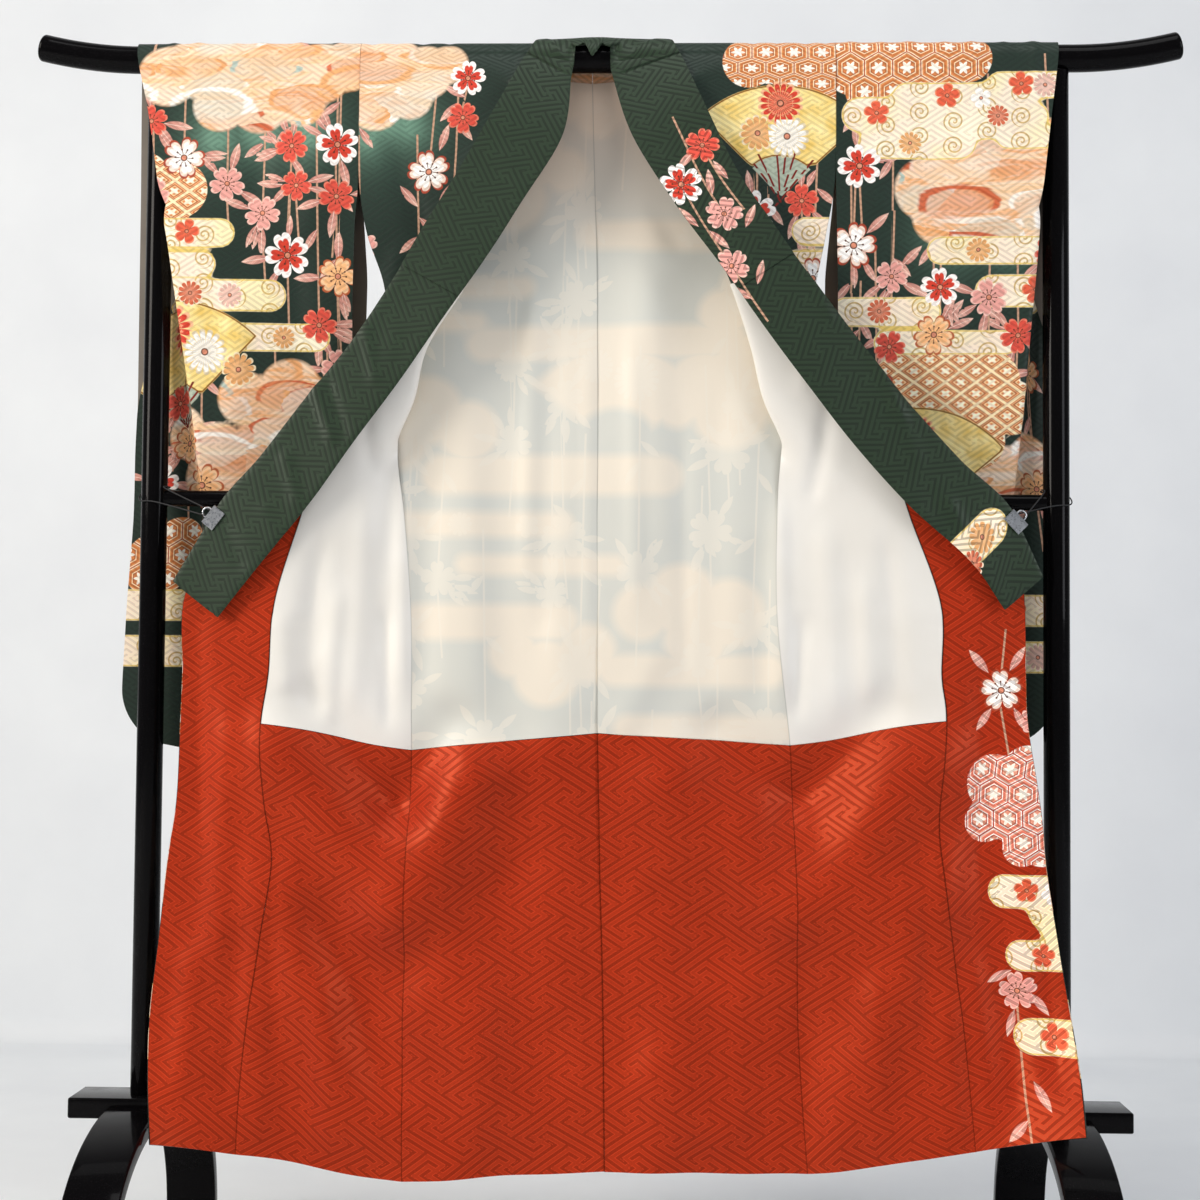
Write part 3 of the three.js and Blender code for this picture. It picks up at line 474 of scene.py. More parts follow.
def cloth(name, form, us, vs, side, wall, lift, finish, inner=None, plan=None, design=None,
          round_edge=False, seams=(), seam_dip=0.4, node=None):
    """A closed sheet on the form: its middle surface moved by lift along the normal, and half the wall
    to each side of that. side says which side of the form is its right side. plan gives each point's
    place in the painter's layout; the cloth's own weave lies in metres of cloth (UV map 'cloth').
    seams are the edges (u 0 or 1) where the sheet dips into its seam, node the solid it replaces."""
    u, v = np.meshgrid(us, vs)
    p, n = form(u, v), facing(form, u, v, side)
    across = np.concatenate([np.zeros((len(vs), 1)), np.cumsum(np.linalg.norm(np.diff(p, axis=1), axis=-1), 1)], 1)
    rise = np.linalg.norm(np.diff(p, axis=0), axis=-1).mean(1)
    along = np.broadcast_to(np.concatenate([[0], np.cumsum(rise)])[:, None], u.shape)
    dip = sum((seam_dip * np.exp(-(abs(across - across[:, -1:] * edge) / 3.5) ** 2) for edge in seams), 0 * u)
    half = wall / 2 * (np.sqrt(1 - np.clip(abs(2 * u - 1), 0, 0.995) ** 16) if round_edge else 1 + 0 * u)
    base = p + n * (lift - dip)[..., None]
    right, wrong = base + n * half[..., None], base - n * half[..., None]
    rows, columns = u.shape
    k = np.arange(rows * columns).reshape(rows, columns)
    quads = np.stack([k[:-1, :-1], k[:-1, 1:], k[1:, 1:], k[1:, :-1]], -1).reshape(-1, 4)
    if side < 0:
        quads = quads[:, ::-1]
    rim = np.concatenate([k[0, :-1], k[:-1, -1], k[-1, :0:-1], k[:0:-1, 0]])
    size, loop = k.size, len(rim)
    edge_a = 2 * size + np.arange(loop)
    edge_b = edge_a + loop
    band = np.stack([edge_a, edge_b, np.roll(edge_b, -1), np.roll(edge_a, -1)], -1)
    if side < 0:
        band = band[:, ::-1]
    verts = np.concatenate([q.reshape(-1, 3) for q in (right, wrong)])
    verts = np.concatenate([verts, verts[rim], verts[size + rim]])
    faces = np.concatenate([quads, quads[:, ::-1] + size, band])
    made = loose_object(name, verts, faces, [finish.material, *([inner.material] if inner else [])])
    mesh = made.data
    if inner:
        mesh.polygons.foreach_set("material_index", np.repeat([0, 1, 0],
                                            [len(quads), len(quads), loop]).astype(np.int32))
    near = np.min([abs(across - across[:, -1:] * edge) for edge in seams] or [0 * u + 99], axis=0).ravel()
    near = np.concatenate([near, near, near[rim], near[rim]])
    mesh.attributes.new("seam", "FLOAT", "POINT").data.foreach_set("value", near.astype(np.float32))
    uv = np.stack([across, along], -1).reshape(-1, 2) / 1000
    uv = np.concatenate([uv, uv, uv[rim], uv[rim]])
    mesh.uv_layers.new(name="cloth").data.foreach_set("uv", uv[faces].astype(np.float32).ravel())
    if design is not None:
        place = plan(u, v, across).reshape(-1, 2)
        place = np.concatenate([place, place, place[rim], place[rim]])
        paint(mesh, place, faces, len(quads), design)
    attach(made, "root")
    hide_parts(node)
    return made


def upright(surface, way=np.positive):
    """The painter's layout of a hanging panel: way of its distance to the left, and its height."""
    def plan(u, v, across):
        p = surface(u, v)
        return np.stack([way(p[..., 0]), p[..., 2]], -1)

    return plan


def capsules(place, rows):
    """Distance to the nearest of some round-ended bars (s0, t0, s1, t1, radius), their meetings filleted."""
    d = np.full(len(place), 900.0)
    for s0, t0, s1, t1, radius in rows:
        a, ab = place - (s0, t0), np.array([s1 - s0, t1 - t0], float)
        along = np.clip(a @ ab / max(ab @ ab, 1e-9), 0, 1)
        one = np.linalg.norm(a - along[:, None] * ab, axis=1) - radius
        h = np.clip(0.5 + 0.5 * (one - d) / 14, 0, 1)
        d = one * (1 - h) + d * h - 14 * h * (1 - h)
    return d


def discs(place, rows):
    """Distance to the outline of overlapping discs (s, t, radius), their scallops kept sharp."""
    d = np.full(len(place), 900.0)
    for s, t, radius in rows:
        d = np.minimum(d, np.linalg.norm(place - (s, t), axis=1) - radius)
    return d


def leaf_of_fan(place, rows):
    """Distance to the gold leaf of an open fan: between two radii and two angles about its pivot."""
    d = np.full(len(place), 900.0)
    for s, t, low, high, first, last in rows:
        q = place - (s, t)
        r, a = np.linalg.norm(q, axis=1), np.arctan2(q[:, 1], q[:, 0])
        middle, spread = (first + last) / 2, (last - first) / 2
        turn = (a - middle + np.pi) % (2 * np.pi) - np.pi
        d = np.minimum(d, np.maximum(abs(r - (low + high) / 2) - (high - low) / 2, (abs(turn) - spread) * r))
    return d


# petals, then shape (0 cherry, 1 plum, 2 chrysanthemum), petal, outline, heart, share of the petal's heart
blooms = {
    "white": (5, 0, "f0d9c8", "a8452e", "fbf7f2", 0.74), "scarlet": (5, 0, "f9f1ea", "fbf4ee", "d0402e", 0.74),
    "pink": (5, 0, "e39d92", "f0bfb0", "e39d92", 0), "coral": (5, 0, "d54c3d", "e67a62", "d54c3d", 0),
    "apricot": (5, 0, "f3c79a", "b85f38", "f5b982", 0.72), "plum": (5, 1, "dd5a3e", "e98a63", "dd5a3e", 0),
    "pale plum": (5, 1, "fbf6ee", "e8d7bf", "fbf6ee", 0), "rust mum": (12, 2, "cf5f3b", "f3dcbf", "cf5f3b", 0),
    "pale mum": (13, 2, "dbaf9f", "f3dfcf", "dbaf9f", 0), "gold mum": (12, 2, "dfa062", "f4dfb9", "dfa062", 0),
    "red mum": (16, 2, "cf3524", "f0b58c", "cf3524", 0), "white mum": (16, 2, "f7f3ec", "d9c9a8", "f7f3ec", 0)}


def paint(mesh, place, faces, painted, design):
    """Gives a mesh its painted layout. Large shapes are stored as distances at the points; flowers,
    leaves and stems as their own coordinates on the faces near them, for the material to draw."""
    ground = np.stack([capsules(place, design.get("bands", ())), discs(place, design.get("clouds", ())),
                       discs(place, design.get("shells", ())), discs(place, design.get("diamonds", ()))], -1)
    glow = np.exp(-np.maximum(discs(place, design.get("glow", ())), 0) / 24)
    pleats = leaf_of_fan(place, [(s, t, 4, low, first, last) for s, t, low, high, first,
                                 last in design.get("fans", ())])
    other = np.stack([leaf_of_fan(place, design.get("fans", ())), glow, pleats, 0 * glow + 1], -1)
    for name, values in (("ground", ground), ("other", other)):
        mesh.attributes.new(name, "FLOAT_COLOR", "POINT").data.foreach_set("color", values.astype(np.float32).ravel())
    corners = place[faces[:painted]]
    centre = corners.mean(1)
    total = len(faces)

    def layer(rows, measure, local, facts=None):
        """Local coordinates at each face's corners, from the row that measure says is nearest."""
        uv = np.full((total, 4, 2), 9.0, np.float32)
        pick = np.full(painted, -1)
        best = np.full(painted, 1.0)
        for k, row in enumerate(rows):
            d = measure(centre, row)
            near = d < best
            pick[near], best[near] = k, d[near]
        for k, row in enumerate(rows):
            mine = np.nonzero(pick == k)[0]
            uv[mine] = local(corners[mine], row)
        return uv, pick

    def turned(q, s, t, size, angle):
        q = (q - (s, t)) / size
        c, d = math.cos(angle), math.sin(angle)
        return np.stack([q[..., 0] * c + q[..., 1] * d, q[..., 1] * c - q[..., 0] * d], -1)

    flowers = design.get("flowers", ())
    uv, pick = layer(flowers, lambda q, f: np.linalg.norm(q - f[:2], axis=1) / (f[2] * 1.06 + 5),
                     lambda q, f: turned(q, *f[:4]))
    mesh.uv_layers.new(name="flower").data.foreach_set("uv", uv.ravel())
    names = list(blooms)
    looks = np.array([[[*colour(b[2])[:3], b[0] / 20], [*colour(b[3])[:3], b[5]], [*colour(b[4])[:3], b[1] / 2]]
                      for b in blooms.values()] + [[[0, 0, 0, 0.25], [0, 0, 0, 0], [0, 0, 0, 0]]])
    index = np.full(total, len(names))
    kinds = np.array([names.index(f[4]) for f in flowers] + [len(names)])
    index[:painted] = kinds[pick]
    for k, name in enumerate(("petal", "outline", "heart")):
        values = np.repeat(looks[index, k][:, None], 4, 1).astype(np.float32)
        mesh.attributes.new(name, "FLOAT_COLOR", "CORNER").data.foreach_set("color", values.ravel())
    uv, pick = layer(design.get("leaves", ()), lambda q, f: np.linalg.norm(
        turned(q, f[0], f[1], f[2] / 2, f[3]) * (1, 2.4), axis=1) / 1.22, lambda q, f: turned(q, f[0], f[1], f[2] / 2, f[3]))
    mesh.uv_layers.new(name="leaf").data.foreach_set("uv", uv.ravel())

    def beside(q, f):
        a, ab = q - np.array(f[:2]), np.array(f[2:4]) - f[:2]
        along = np.clip(a @ ab / (ab @ ab), 0, 1)
        return np.linalg.norm(a - along[..., None] * ab, axis=-1) / 8

    def cross(q, f):
        ab = np.array(f[2:4], float) - f[:2]
        a, far = q - np.array(f[:2]), np.linalg.norm(ab)
        return np.stack([(a[..., 0] * ab[1] - a[..., 1] * ab[0]) / far / 10, 0 * a[..., 0] + f[4]], -1)

    uv, pick = layer(design.get("stems", ()), beside, cross)
    mesh.uv_layers.new(name="stem").data.foreach_set("uv", uv.ravel())


def fret(f, place, pitch, lean=33):
    """The woven key fret, 1 on its raised bars. Two families of leaning lines cross; every five lines of
    a family hold two long bars and three rows of short ones, and the next five are the same moved on by
    five. The ramp holds, line by line, where each of the five starts and stops being a bar."""
    x, y, _ = f.add("SeparateXYZ", place).node.outputs
    a = math.radians(lean)
    side, rise = (f.math("MULTIPLY", x, 0.5 / math.cos(a) / pitch), f.math("MULTIPLY", y, 0.5 / math.sin(a) / pitch))
    one, two = (f.math(way, side, rise) for way in ("ADD", "SUBTRACT"))
    stops = [(0, 1), (6.81, 0), (9.19, 1), (16.81, 0), (19.19, 1), (20, 0), (20.19, 1), (22.81, 0), (23.19, 1),
             (25.81, 0),
             (30, 1), (31.81, 0), (34.19, 1), (36.81, 0), (39.19, 1), (40.81, 0), (45.19, 1), (47.81, 0), (48.19, 1)]
    bars = []
    for line, run in ((one, two), (f.math("ADD", two, 3), f.math("ADD", one, 2))):
        number = f.math("FLOOR", line)
        off = f.math("ABSOLUTE", f.math("SUBTRACT", f.math("SUBTRACT", line, number), 0.5))
        k = f.math("FLOORED_MODULO", number, 5)
        along = f.math("FLOORED_MODULO", f.math("SUBTRACT", run, f.math("SUBTRACT", number, k)), 10)
        span = f.ramp(f.math("DIVIDE", f.math("MULTIPLY_ADD", k, 10, along), 50), [(q / 50, on) for q, on in stops],
                      stepped=True)
        bars.append(f.math("MULTIPLY", f.inside(off, 0.24, 0.14), span))
    return f.math("MAXIMUM", *bars)


def satin(f, base, place, pitch, contrast=0.16, edge=0.1, lean=33, rough=(0.42, 0.6), seam=0.5):
    """Finishes a figured satin: the fret's bars are smoother and a hair proud, and painted a shade lighter
    as a painted sheen of the woven figure; their outlines get a painted highlight, and the cloth gets
    painted shade in its seams."""
    bars = fret(f, place, pitch, lean)
    outline = f.math("SUBTRACT", 1.0, f.math("ABSOLUTE", f.math("MULTIPLY_ADD", bars, 2, -1)))
    soft, threads = f.noise(place, 6.0, 3.0), f.noise(place, 1.0, 1.0, (900.0, 140.0, 1.0))
    # Painted sheen: the fret's bars are painted lighter, as much as contrast.
    lit = f.math("MULTIPLY_ADD", bars, contrast, 1 - contrast * 0.5)
    # Painted highlight along the bars' outlines, as much as edge.
    lit = f.math("ADD", lit, f.math("MULTIPLY", outline, edge))
    lit = f.math("MULTIPLY", lit, f.math("MULTIPLY_ADD", threads, 0.12, 0.94))
    lit = f.math("MULTIPLY", lit, f.math("MULTIPLY_ADD", soft, 0.2, 0.9))
    # Painted shade in the seams, as deep as seam.
    lit = f.math("MULTIPLY", lit, seam_shade(f, seam, 2.4))
    f.to("Base Color", f.times(base, lit))
    f.to("Roughness", f.shift(bars, rough[1], rough[0]))
    f.relief(f.math("ADD", bars, f.math("MULTIPLY", threads, 0.5)), 0.25, 0.0004)


def seam_shade(f, depth=0.68, wide=1.7):
    """Painted shade in a seam: 1 over the cloth, less depth in the last millimetres, wide in all, before a seam."""
    node = f.nodes.new("ShaderNodeAttribute")
    node.attribute_name = "seam"
    return f.math("MULTIPLY_ADD", f.inside(node.outputs["Fac"], 0.5, wide), -depth, 1.0)


def uv_map(f, name):
    node = f.nodes.new("ShaderNodeUVMap")
    node.uv_map = name
    return node.outputs[0]


def stored(f, name):
    node = f.nodes.new("ShaderNodeAttribute")
    node.attribute_name = name
    split = f.nodes.new("ShaderNodeSeparateColor")
    f.feed(split.inputs[0], node.outputs["Color"])
    return node.outputs["Color"], list(split.outputs) + [node.outputs["Alpha"]]


def figure_in_cell(f, vector, count, reach):
    """A small flower of count petals about a cell's middle, 1 on its petals."""
    x, y, _ = f.add("SeparateXYZ", vector).node.outputs
    r = f.add("VectorMath", vector, operation="LENGTH", out=1)
    turn = f.math("MULTIPLY", f.math("ARCTAN2", y, x), count / (2 * math.pi))
    lobe = f.math("MULTIPLY_ADD", f.math("PINGPONG", turn, 0.5), -1.1, 1.0)
    return f.inside(f.math("DIVIDE", r, lobe), reach, reach * 0.12)


def shell_cells(f, place, size):
    """Tortoise-shell hexagons: 0 at a cell's middle to 1 at its edge, and the place in the cell."""
    p = f.add("VectorMath", place, (1 / size, 1 / size, 0), operation="MULTIPLY")
    step = (1.0, math.sqrt(3), 1.0)
    half = (0.5, math.sqrt(3) / 2, 0.0)
    a = f.add("VectorMath", f.add("VectorMath", p, step, (0, 0, 0), operation="WRAP"), half, operation="SUBTRACT")
    b = f.add("VectorMath", p, half, operation="SUBTRACT")
    b = f.add("VectorMath", f.add("VectorMath", b, step, (0, 0, 0), operation="WRAP"), half, operation="SUBTRACT")
    nearer = f.math("LESS_THAN", f.add("VectorMath", a, operation="LENGTH", out=1),
                    f.add("VectorMath", b, operation="LENGTH", out=1))
    g = f.blend(nearer, b, a)
    size_of = f.add("VectorMath", g, operation="ABSOLUTE")
    slant = f.add("VectorMath", size_of, (0.5, math.sqrt(3) / 2, 0), operation="DOT_PRODUCT", out=1)
    flat = f.add("SeparateXYZ", size_of)
    return f.math("MULTIPLY", f.math("MAXIMUM", flat, slant), 2), g


def diamond_cells(f, place, size):
    """Flower diamonds: leaning squares, 0 at the middle to 1 at the edge, and the place in the cell."""
    x, y, _ = f.add("SeparateXYZ", place).node.outputs
    p = f.math("ADD", f.math("DIVIDE", x, size), f.math("DIVIDE", y, size * 0.72))
    q = f.math("SUBTRACT", f.math("DIVIDE", x, size), f.math("DIVIDE", y, size * 0.72))
    p, q = (f.math("SUBTRACT", f.math("FRACT", v), 0.5) for v in (p, q))
    edge = f.math("MULTIPLY", f.math("MAXIMUM", f.math("ABSOLUTE", p), f.math("ABSOLUTE", q)), 2)
    return edge, f.add("CombineXYZ", p, q)


def ringed(f, edge, vector, stops, count, flower):
    """Nested outlines by the cell's edge value, with a small flower in the middle."""
    return f.blend(figure_in_cell(f, vector, count, 0.26), f.ramp(edge, stops, stepped=True), colour(flower))


def painted_layers(f, base, warm="d49a8b", shell_tints="cf8048 a9532f f3d9b0 c8753f dd9459 f6e6c8 b4572f"):
    """The painter's layers over a base colour, lowest first: clouds, shells, diamonds, mist bands, fans,
    stems, leaves and flowers. Gives the colour and the share that is painted."""
    place = uv_map(f, "cloth")
    _, (band, cloud, shell, diamond) = stored(f, "ground")
    _, (fan, glow, pleats, _) = stored(f, "other")
    look = f.blend(f.math("MULTIPLY", glow, 0.55), base, colour("86b39a"))

    across, tint, _ = f.add("SeparateXYZ", uv_map(f, "stem")).node.outputs
    stem = f.inside(f.math("ABSOLUTE", across), 0.15, 0.05)
    look = f.blend(f.math("MULTIPLY", stem, f.math("SUBTRACT", 1.0, tint)), look, colour("bf957a"))
    s, t, _ = f.add("SeparateXYZ", uv_map(f, "leaf")).node.outputs
    lens_shape = f.math("MULTIPLY_ADD", f.math("MULTIPLY", s, s), -0.29, 0.29)
    rib = f.math("ABSOLUTE", t)
    blade = f.inside(f.math("SUBTRACT", rib, lens_shape), 0, 0.05)
    veins = f.math("PINGPONG", f.math("MULTIPLY_ADD", s, 5.5, f.math("MULTIPLY", rib, -7.0)), 0.5)
    blade_look = f.ramp(f.math("MULTIPLY_ADD", s, 0.5, 0.5), [(0, colour("b9786c")), (0.5, colour(warm)),
                                            (1, colour("e8bba8"))])
    blade_look = f.blend(f.math("MULTIPLY", f.inside(veins, 0.07, 0.05), 0.5), blade_look, colour("9c5f50"))
    blade_look = f.blend(f.inside(rib, 0.02, 0.03), blade_look, colour("f0d2c2"))
    look = f.blend(blade, look, blade_look)

    brush = f.add("TexNoise", f.add("Mapping", place, None, None, (7.0, 34.0, 1.0)), None, 1.0, 4.0, 0.55)
    brush.node.inputs["Distortion"].default_value = 0.7
    wash = f.ramp(brush, [(0.3, colour("f4dcc4")), (0.43, colour("efc496")), (0.5, colour("f4d6b8")),
                          (0.58, colour("e9ac76")), (0.7, colour("f8e8d6"))])
    for scale, shift_of, edges, tints in (
            (25.0, 0.3, (0.62, 0.5), [(0, "e6a066"), (0.24, "c9603a"), (0.42, "f7ede0"), (0.7, "a9bdb4"),
                                      (0.85, "f0cdb6")]),
            (17.0, 0.0, (0.52, 0.38), [(0, "e8a970"), (0.25, "c4572f"), (0.42, "fbf4ea"), (0.66, "9fb8b0"), (0.82, "e8a56b")])):
        grid = f.add("Mapping", place, None, None, (scale * 0.42, scale, 1.0))
        warp = f.add("VectorMath", brush.node.outputs["Color"], (0.5, 0.5, 0.5), operation="SUBTRACT")
        grid = f.add("VectorMath", f.add("VectorMath", warp, (0.35, 0.35, 0), operation="MULTIPLY"), grid)
        grid = f.add("VectorMath", grid, (shift_of, shift_of, 0))
        hummocks = f.nodes.new("ShaderNodeTexVoronoi")
        hummocks.voronoi_dimensions = "2D"
        hummocks.inputs["Scale"].default_value = 1.0
        f.feed(hummocks.inputs["Vector"], grid)
        from_middle = f.add("VectorMath", grid, hummocks.outputs["Position"], operation="SUBTRACT")
        _, high, _ = f.add("SeparateXYZ", from_middle).node.outputs
        tone = f.add("SeparateColor", hummocks.outputs["Color"])
        far = f.math("ADD", hummocks.outputs["Distance"], f.math("MULTIPLY", high, -0.35))
        crest = f.math("MULTIPLY", f.inside(f.math("ABSOLUTE", f.math("SUBTRACT", far, edges[1])), 0.04, 0.03),
                       f.inside(high, -0.02, -0.1))
        body_of = f.math("MULTIPLY", f.inside(far, edges[1], 0.02), f.inside(high, -0.3, -0.6))
        tints = [(place_of, colour(tint)) for place_of, tint in tints]
        wash = f.blend(f.math("MULTIPLY", body_of, 0.34), wash, f.ramp(tone, tints))
        wash = f.blend(f.math("MULTIPLY", crest, 0.92), wash, f.ramp(tone, tints, stepped=True))
    look = f.blend(f.inside(cloud, 0, 5), look, wash)

    cells, middle = shell_cells(f, place, 0.042)
    look_shell = ringed(f, cells, middle, [(q, colour(tint)) for q, tint in zip(
        (0, 0.5, 0.56, 0.64, 0.8, 0.89, 0.95), shell_tints.split())], 6, "fbf3e4")
    look = f.blend(f.inside(shell, 0, 1.2), look, look_shell)
    cells, middle = diamond_cells(f, place, 0.046)
    look_diamond = ringed(f, cells, middle, [(0, colour("d98a52")), (0.42, colour("f4d7a4")),
                                            (0.52, colour("b85f34")),
                                             (0.66, colour("eab27c")), (0.76, colour("b5653a")), (0.84, colour("f6dfb4"))], 4, "fdf0d5")
    look = f.blend(f.inside(diamond, 0, 1.2), look, look_diamond)

    x, y, _ = f.add("SeparateXYZ", place).node.outputs
    mist = f.ramp(f.noise(place, 9.0, 2.0), [(0.35, colour("f6e7b8")), (0.5, colour("f6e2cb")),
                                            (0.65, colour("fbf1d4"))])
    curl_x = f.math("SUBTRACT", f.math("FLOORED_MODULO", x, 0.05), 0.025)
    row = f.math("FLOOR", f.math("DIVIDE", x, 0.05))
    curl_y = f.math("SUBTRACT", f.math("FLOORED_MODULO", f.math("MULTIPLY_ADD", row, 0.015, y), 0.037), 0.0185)
    r = f.math("SQRT", f.math("ADD", f.math("MULTIPLY", curl_x, curl_x), f.math("MULTIPLY", curl_y, curl_y)))
    turn = f.math("DIVIDE", f.math("ARCTAN2", curl_y, curl_x), 2 * math.pi)
    wind = f.math("ABSOLUTE", f.math("SUBTRACT", f.math("FRACT", f.math("SUBTRACT", f.math("DIVIDE", r, 0.0074),
                                            turn)), 0.5))
    curls = f.math("MULTIPLY", f.inside(wind, 0.17, 0.08), f.inside(r, 0.016, 0.001))
    mist = f.blend(f.math("MULTIPLY", curls, 0.8), mist, colour("bf9a45"))
    mist = f.blend(f.inside(f.math("ABSOLUTE", f.math("ADD", band, 1.4)), 1.0, 1.2), mist, colour("e3c56c"))
    look = f.blend(f.inside(band, 0, 1.2), look, mist)

    leaf_gold = f.ramp(f.noise(place, 30.0, 4.0), [(0.35, colour("e6c368")), (0.65, colour("f8e4a2"))])
    leaf_gold = f.blend(f.inside(f.math("ABSOLUTE", f.math("ADD", fan, 1.5)), 1.1, 1.0), leaf_gold, colour("8a5a22"))
    look = f.blend(f.inside(fan, 0, 1.2), look, leaf_gold)
    look = f.blend(f.inside(pleats, 0, 1.2), look, colour("a9b3a0"))

    look = f.blend(f.math("MULTIPLY", stem, tint), look, colour("7a2018"))

    flower = uv_map(f, "flower")
    x, y, _ = f.add("SeparateXYZ", flower).node.outputs
    petal, (_, _, _, count) = stored(f, "petal")
    outline, (_, _, _, heart_share) = stored(f, "outline")
    heart, (_, _, _, kind) = stored(f, "heart")
    r = f.add("VectorMath", flower, operation="LENGTH", out=1)
    angle_share = f.math("DIVIDE", f.math("ARCTAN2", y, x), 2 * math.pi)
    lobe = f.math("MULTIPLY", f.math("MULTIPLY", angle_share, count), 20)
    lobe = f.math("MULTIPLY", f.math("PINGPONG", lobe, 0.5), 2)
    cherry = f.curve(lobe, [(0, 0.84), (0.07, 0.92), (0.17, 0.985), (0.36, 1.0), (0.6, 0.94), (0.8, 0.8),
                            (0.93, 0.6), (1, 0.38)])
    plum = f.curve(lobe, [(0, 0.97), (0.3, 0.95), (0.6, 0.88), (0.85, 0.7), (1, 0.4)])
    mum = f.curve(lobe, [(0, 1.0), (0.4, 0.98), (0.7, 0.9), (0.88, 0.7), (1, 0.3)])
    reach_of = f.shift(f.math("MULTIPLY", kind, 2, clamp=True), cherry, plum)
    reach_of = f.shift(f.math("MULTIPLY_ADD", kind, 2, -1, clamp=True), reach_of, mum)
    depth = f.math("DIVIDE", r, reach_of)
    inside_heart = f.inside(f.math("MULTIPLY_ADD", f.math("POWER", lobe, 4.0), 0.5, depth), heart_share, 0.06)
    bloom = f.blend(f.math("MULTIPLY", f.math("POWER", f.math("SUBTRACT", 1.1, depth, clamp=True), 2.0), 0.35),
                    petal, outline)
    bloom = f.blend(f.math("MULTIPLY", inside_heart, f.math("GREATER_THAN", heart_share, 0.01)), bloom, heart)
    bloom = f.blend(f.inside(f.math("SUBTRACT", 1.0, depth), 0.115, 0.05), bloom, outline)
    ring = f.math("MULTIPLY", depth, 3.4)
    turn_of = f.math("MULTIPLY_ADD", f.math("FLOOR", ring), 0.5, f.math("MULTIPLY", angle_share, 16))
    split = f.math("MULTIPLY", f.math("PINGPONG", turn_of, 0.5), 2)
    bow = f.math("FRACT", f.math("MULTIPLY_ADD", split, 0.28, ring))
    edges = f.math("MAXIMUM", f.inside(f.math("SUBTRACT", 1.0, split), 0.1, 0.08), f.inside(bow, 0.1, 0.06))
    many = f.math("MULTIPLY", f.math("GREATER_THAN", count, 0.75), f.math("GREATER_THAN", kind, 0.9))
    bloom = f.blend(f.math("MULTIPLY", f.math("MULTIPLY", edges, many), 0.75), bloom, outline)
    ray = f.math("PINGPONG", f.math("MULTIPLY", angle_share, 10), 0.5)
    ray = f.math("MULTIPLY", f.math("MULTIPLY", ray, r), 0.63)
    club = f.math("MULTIPLY_ADD", f.math("GREATER_THAN", r, 0.36), 0.022, 0.016)
    stamens = f.math("MULTIPLY", f.inside(ray, club, 0.012), f.math("MULTIPLY", f.inside(r, 0.44, 0.02),
                     f.math("SUBTRACT", 1.0, f.math("MULTIPLY", kind, 1.6), clamp=True)))
    bloom = f.blend(f.math("MULTIPLY", stamens, f.math("GREATER_THAN", r, 0.2)), bloom, colour("54301f"))
    bloom = f.blend(f.inside(r, 0.16, 0.03), bloom, colour("54301f"))
    bloom = f.blend(f.inside(r, 0.11, 0.03), bloom, colour("dc8f72"))
    open_flower = f.math("MULTIPLY", f.inside(depth, 1.0, 0.04), f.math("LESS_THAN", r, 1.2))
    look = f.blend(open_flower, look, bloom)
    covers = [f.inside(d, -6, 16) for d in (cloud, shell, diamond, band, fan)]
    soft_cover = covers[0]
    for c in covers[1:]:
        soft_cover = f.math("MAXIMUM", soft_cover, c)
    sharp_cover = f.math("MAXIMUM", f.math("MAXIMUM", open_flower, blade), stem)
    return look, soft_cover, sharp_cover, place


def blossom_layout(seed, area, count, keep_off=(), **shapes):
    """Strews flowers by throws of a seeded dart over an area (s0, t0, s1, t1), none closer than their
    petals allow or on the discs of keep_off, each hung from a straight stem with a few leaves beside it."""
    dart = np.random.default_rng(seed)
    s0, t0, s1, t1 = area
    flowers, leaves, stems = (list(shapes.pop(kind, ())) for kind in ("flowers", "leaves", "stems"))
    sizes = {"pink": 27, "coral": 26, "white": 33, "scarlet": 32, "apricot": 32}
    names = list(sizes)
    fixed = len(flowers)
    for _ in range(4000):
        if len(flowers) - fixed >= count:
            break
        kind = names[dart.integers(len(names))]
        size = sizes[kind] * dart.uniform(0.9, 1.08)
        s, t = dart.uniform(s0, s1), dart.uniform(t0, t1)
        if all(math.hypot(s - f[0], t - f[1]) > size + f[2] + 9 for f in flowers) and \
                all(math.hypot(s - k[0], t - k[1]) > k[2] + size * 0.4 for k in keep_off):
            flowers.append((s, t, size, dart.uniform(0, 6.28), kind))
    for s, t, size, angle_of, kind in flowers[fixed:]:
        top = t + dart.uniform(190, 360)
        lean = dart.uniform(-10, 10)
        stems.append((s, t + size * 0.5, s + lean, top, 0))
        stems.append((s, t - size * 0.7, s + dart.uniform(-8, 8), t - dart.uniform(70, 130), 0))
        for k in range(dart.integers(3, 6)):
            a = dart.uniform(0, 6.28)
            long = dart.uniform(34, 46)
            leaves.append((s + math.cos(a) * (size * 0.75 + long * 0.5),
                           t + math.sin(a) * (size * 0.75 + long * 0.5), long, a))
        for k in range(2):
            a = -math.pi / 2 + (1 if k else -1) * dart.uniform(0.5, 0.9)
            rise = dart.uniform(0.35, 0.8)
            at = t + size * 0.5 + (top - t) * rise
            leaves.append((s + lean * rise + math.cos(a) * 20, at + math.sin(a) * 20, 38, a))
    return {"flowers": flowers, "leaves": leaves, "stems": stems, **shapes}


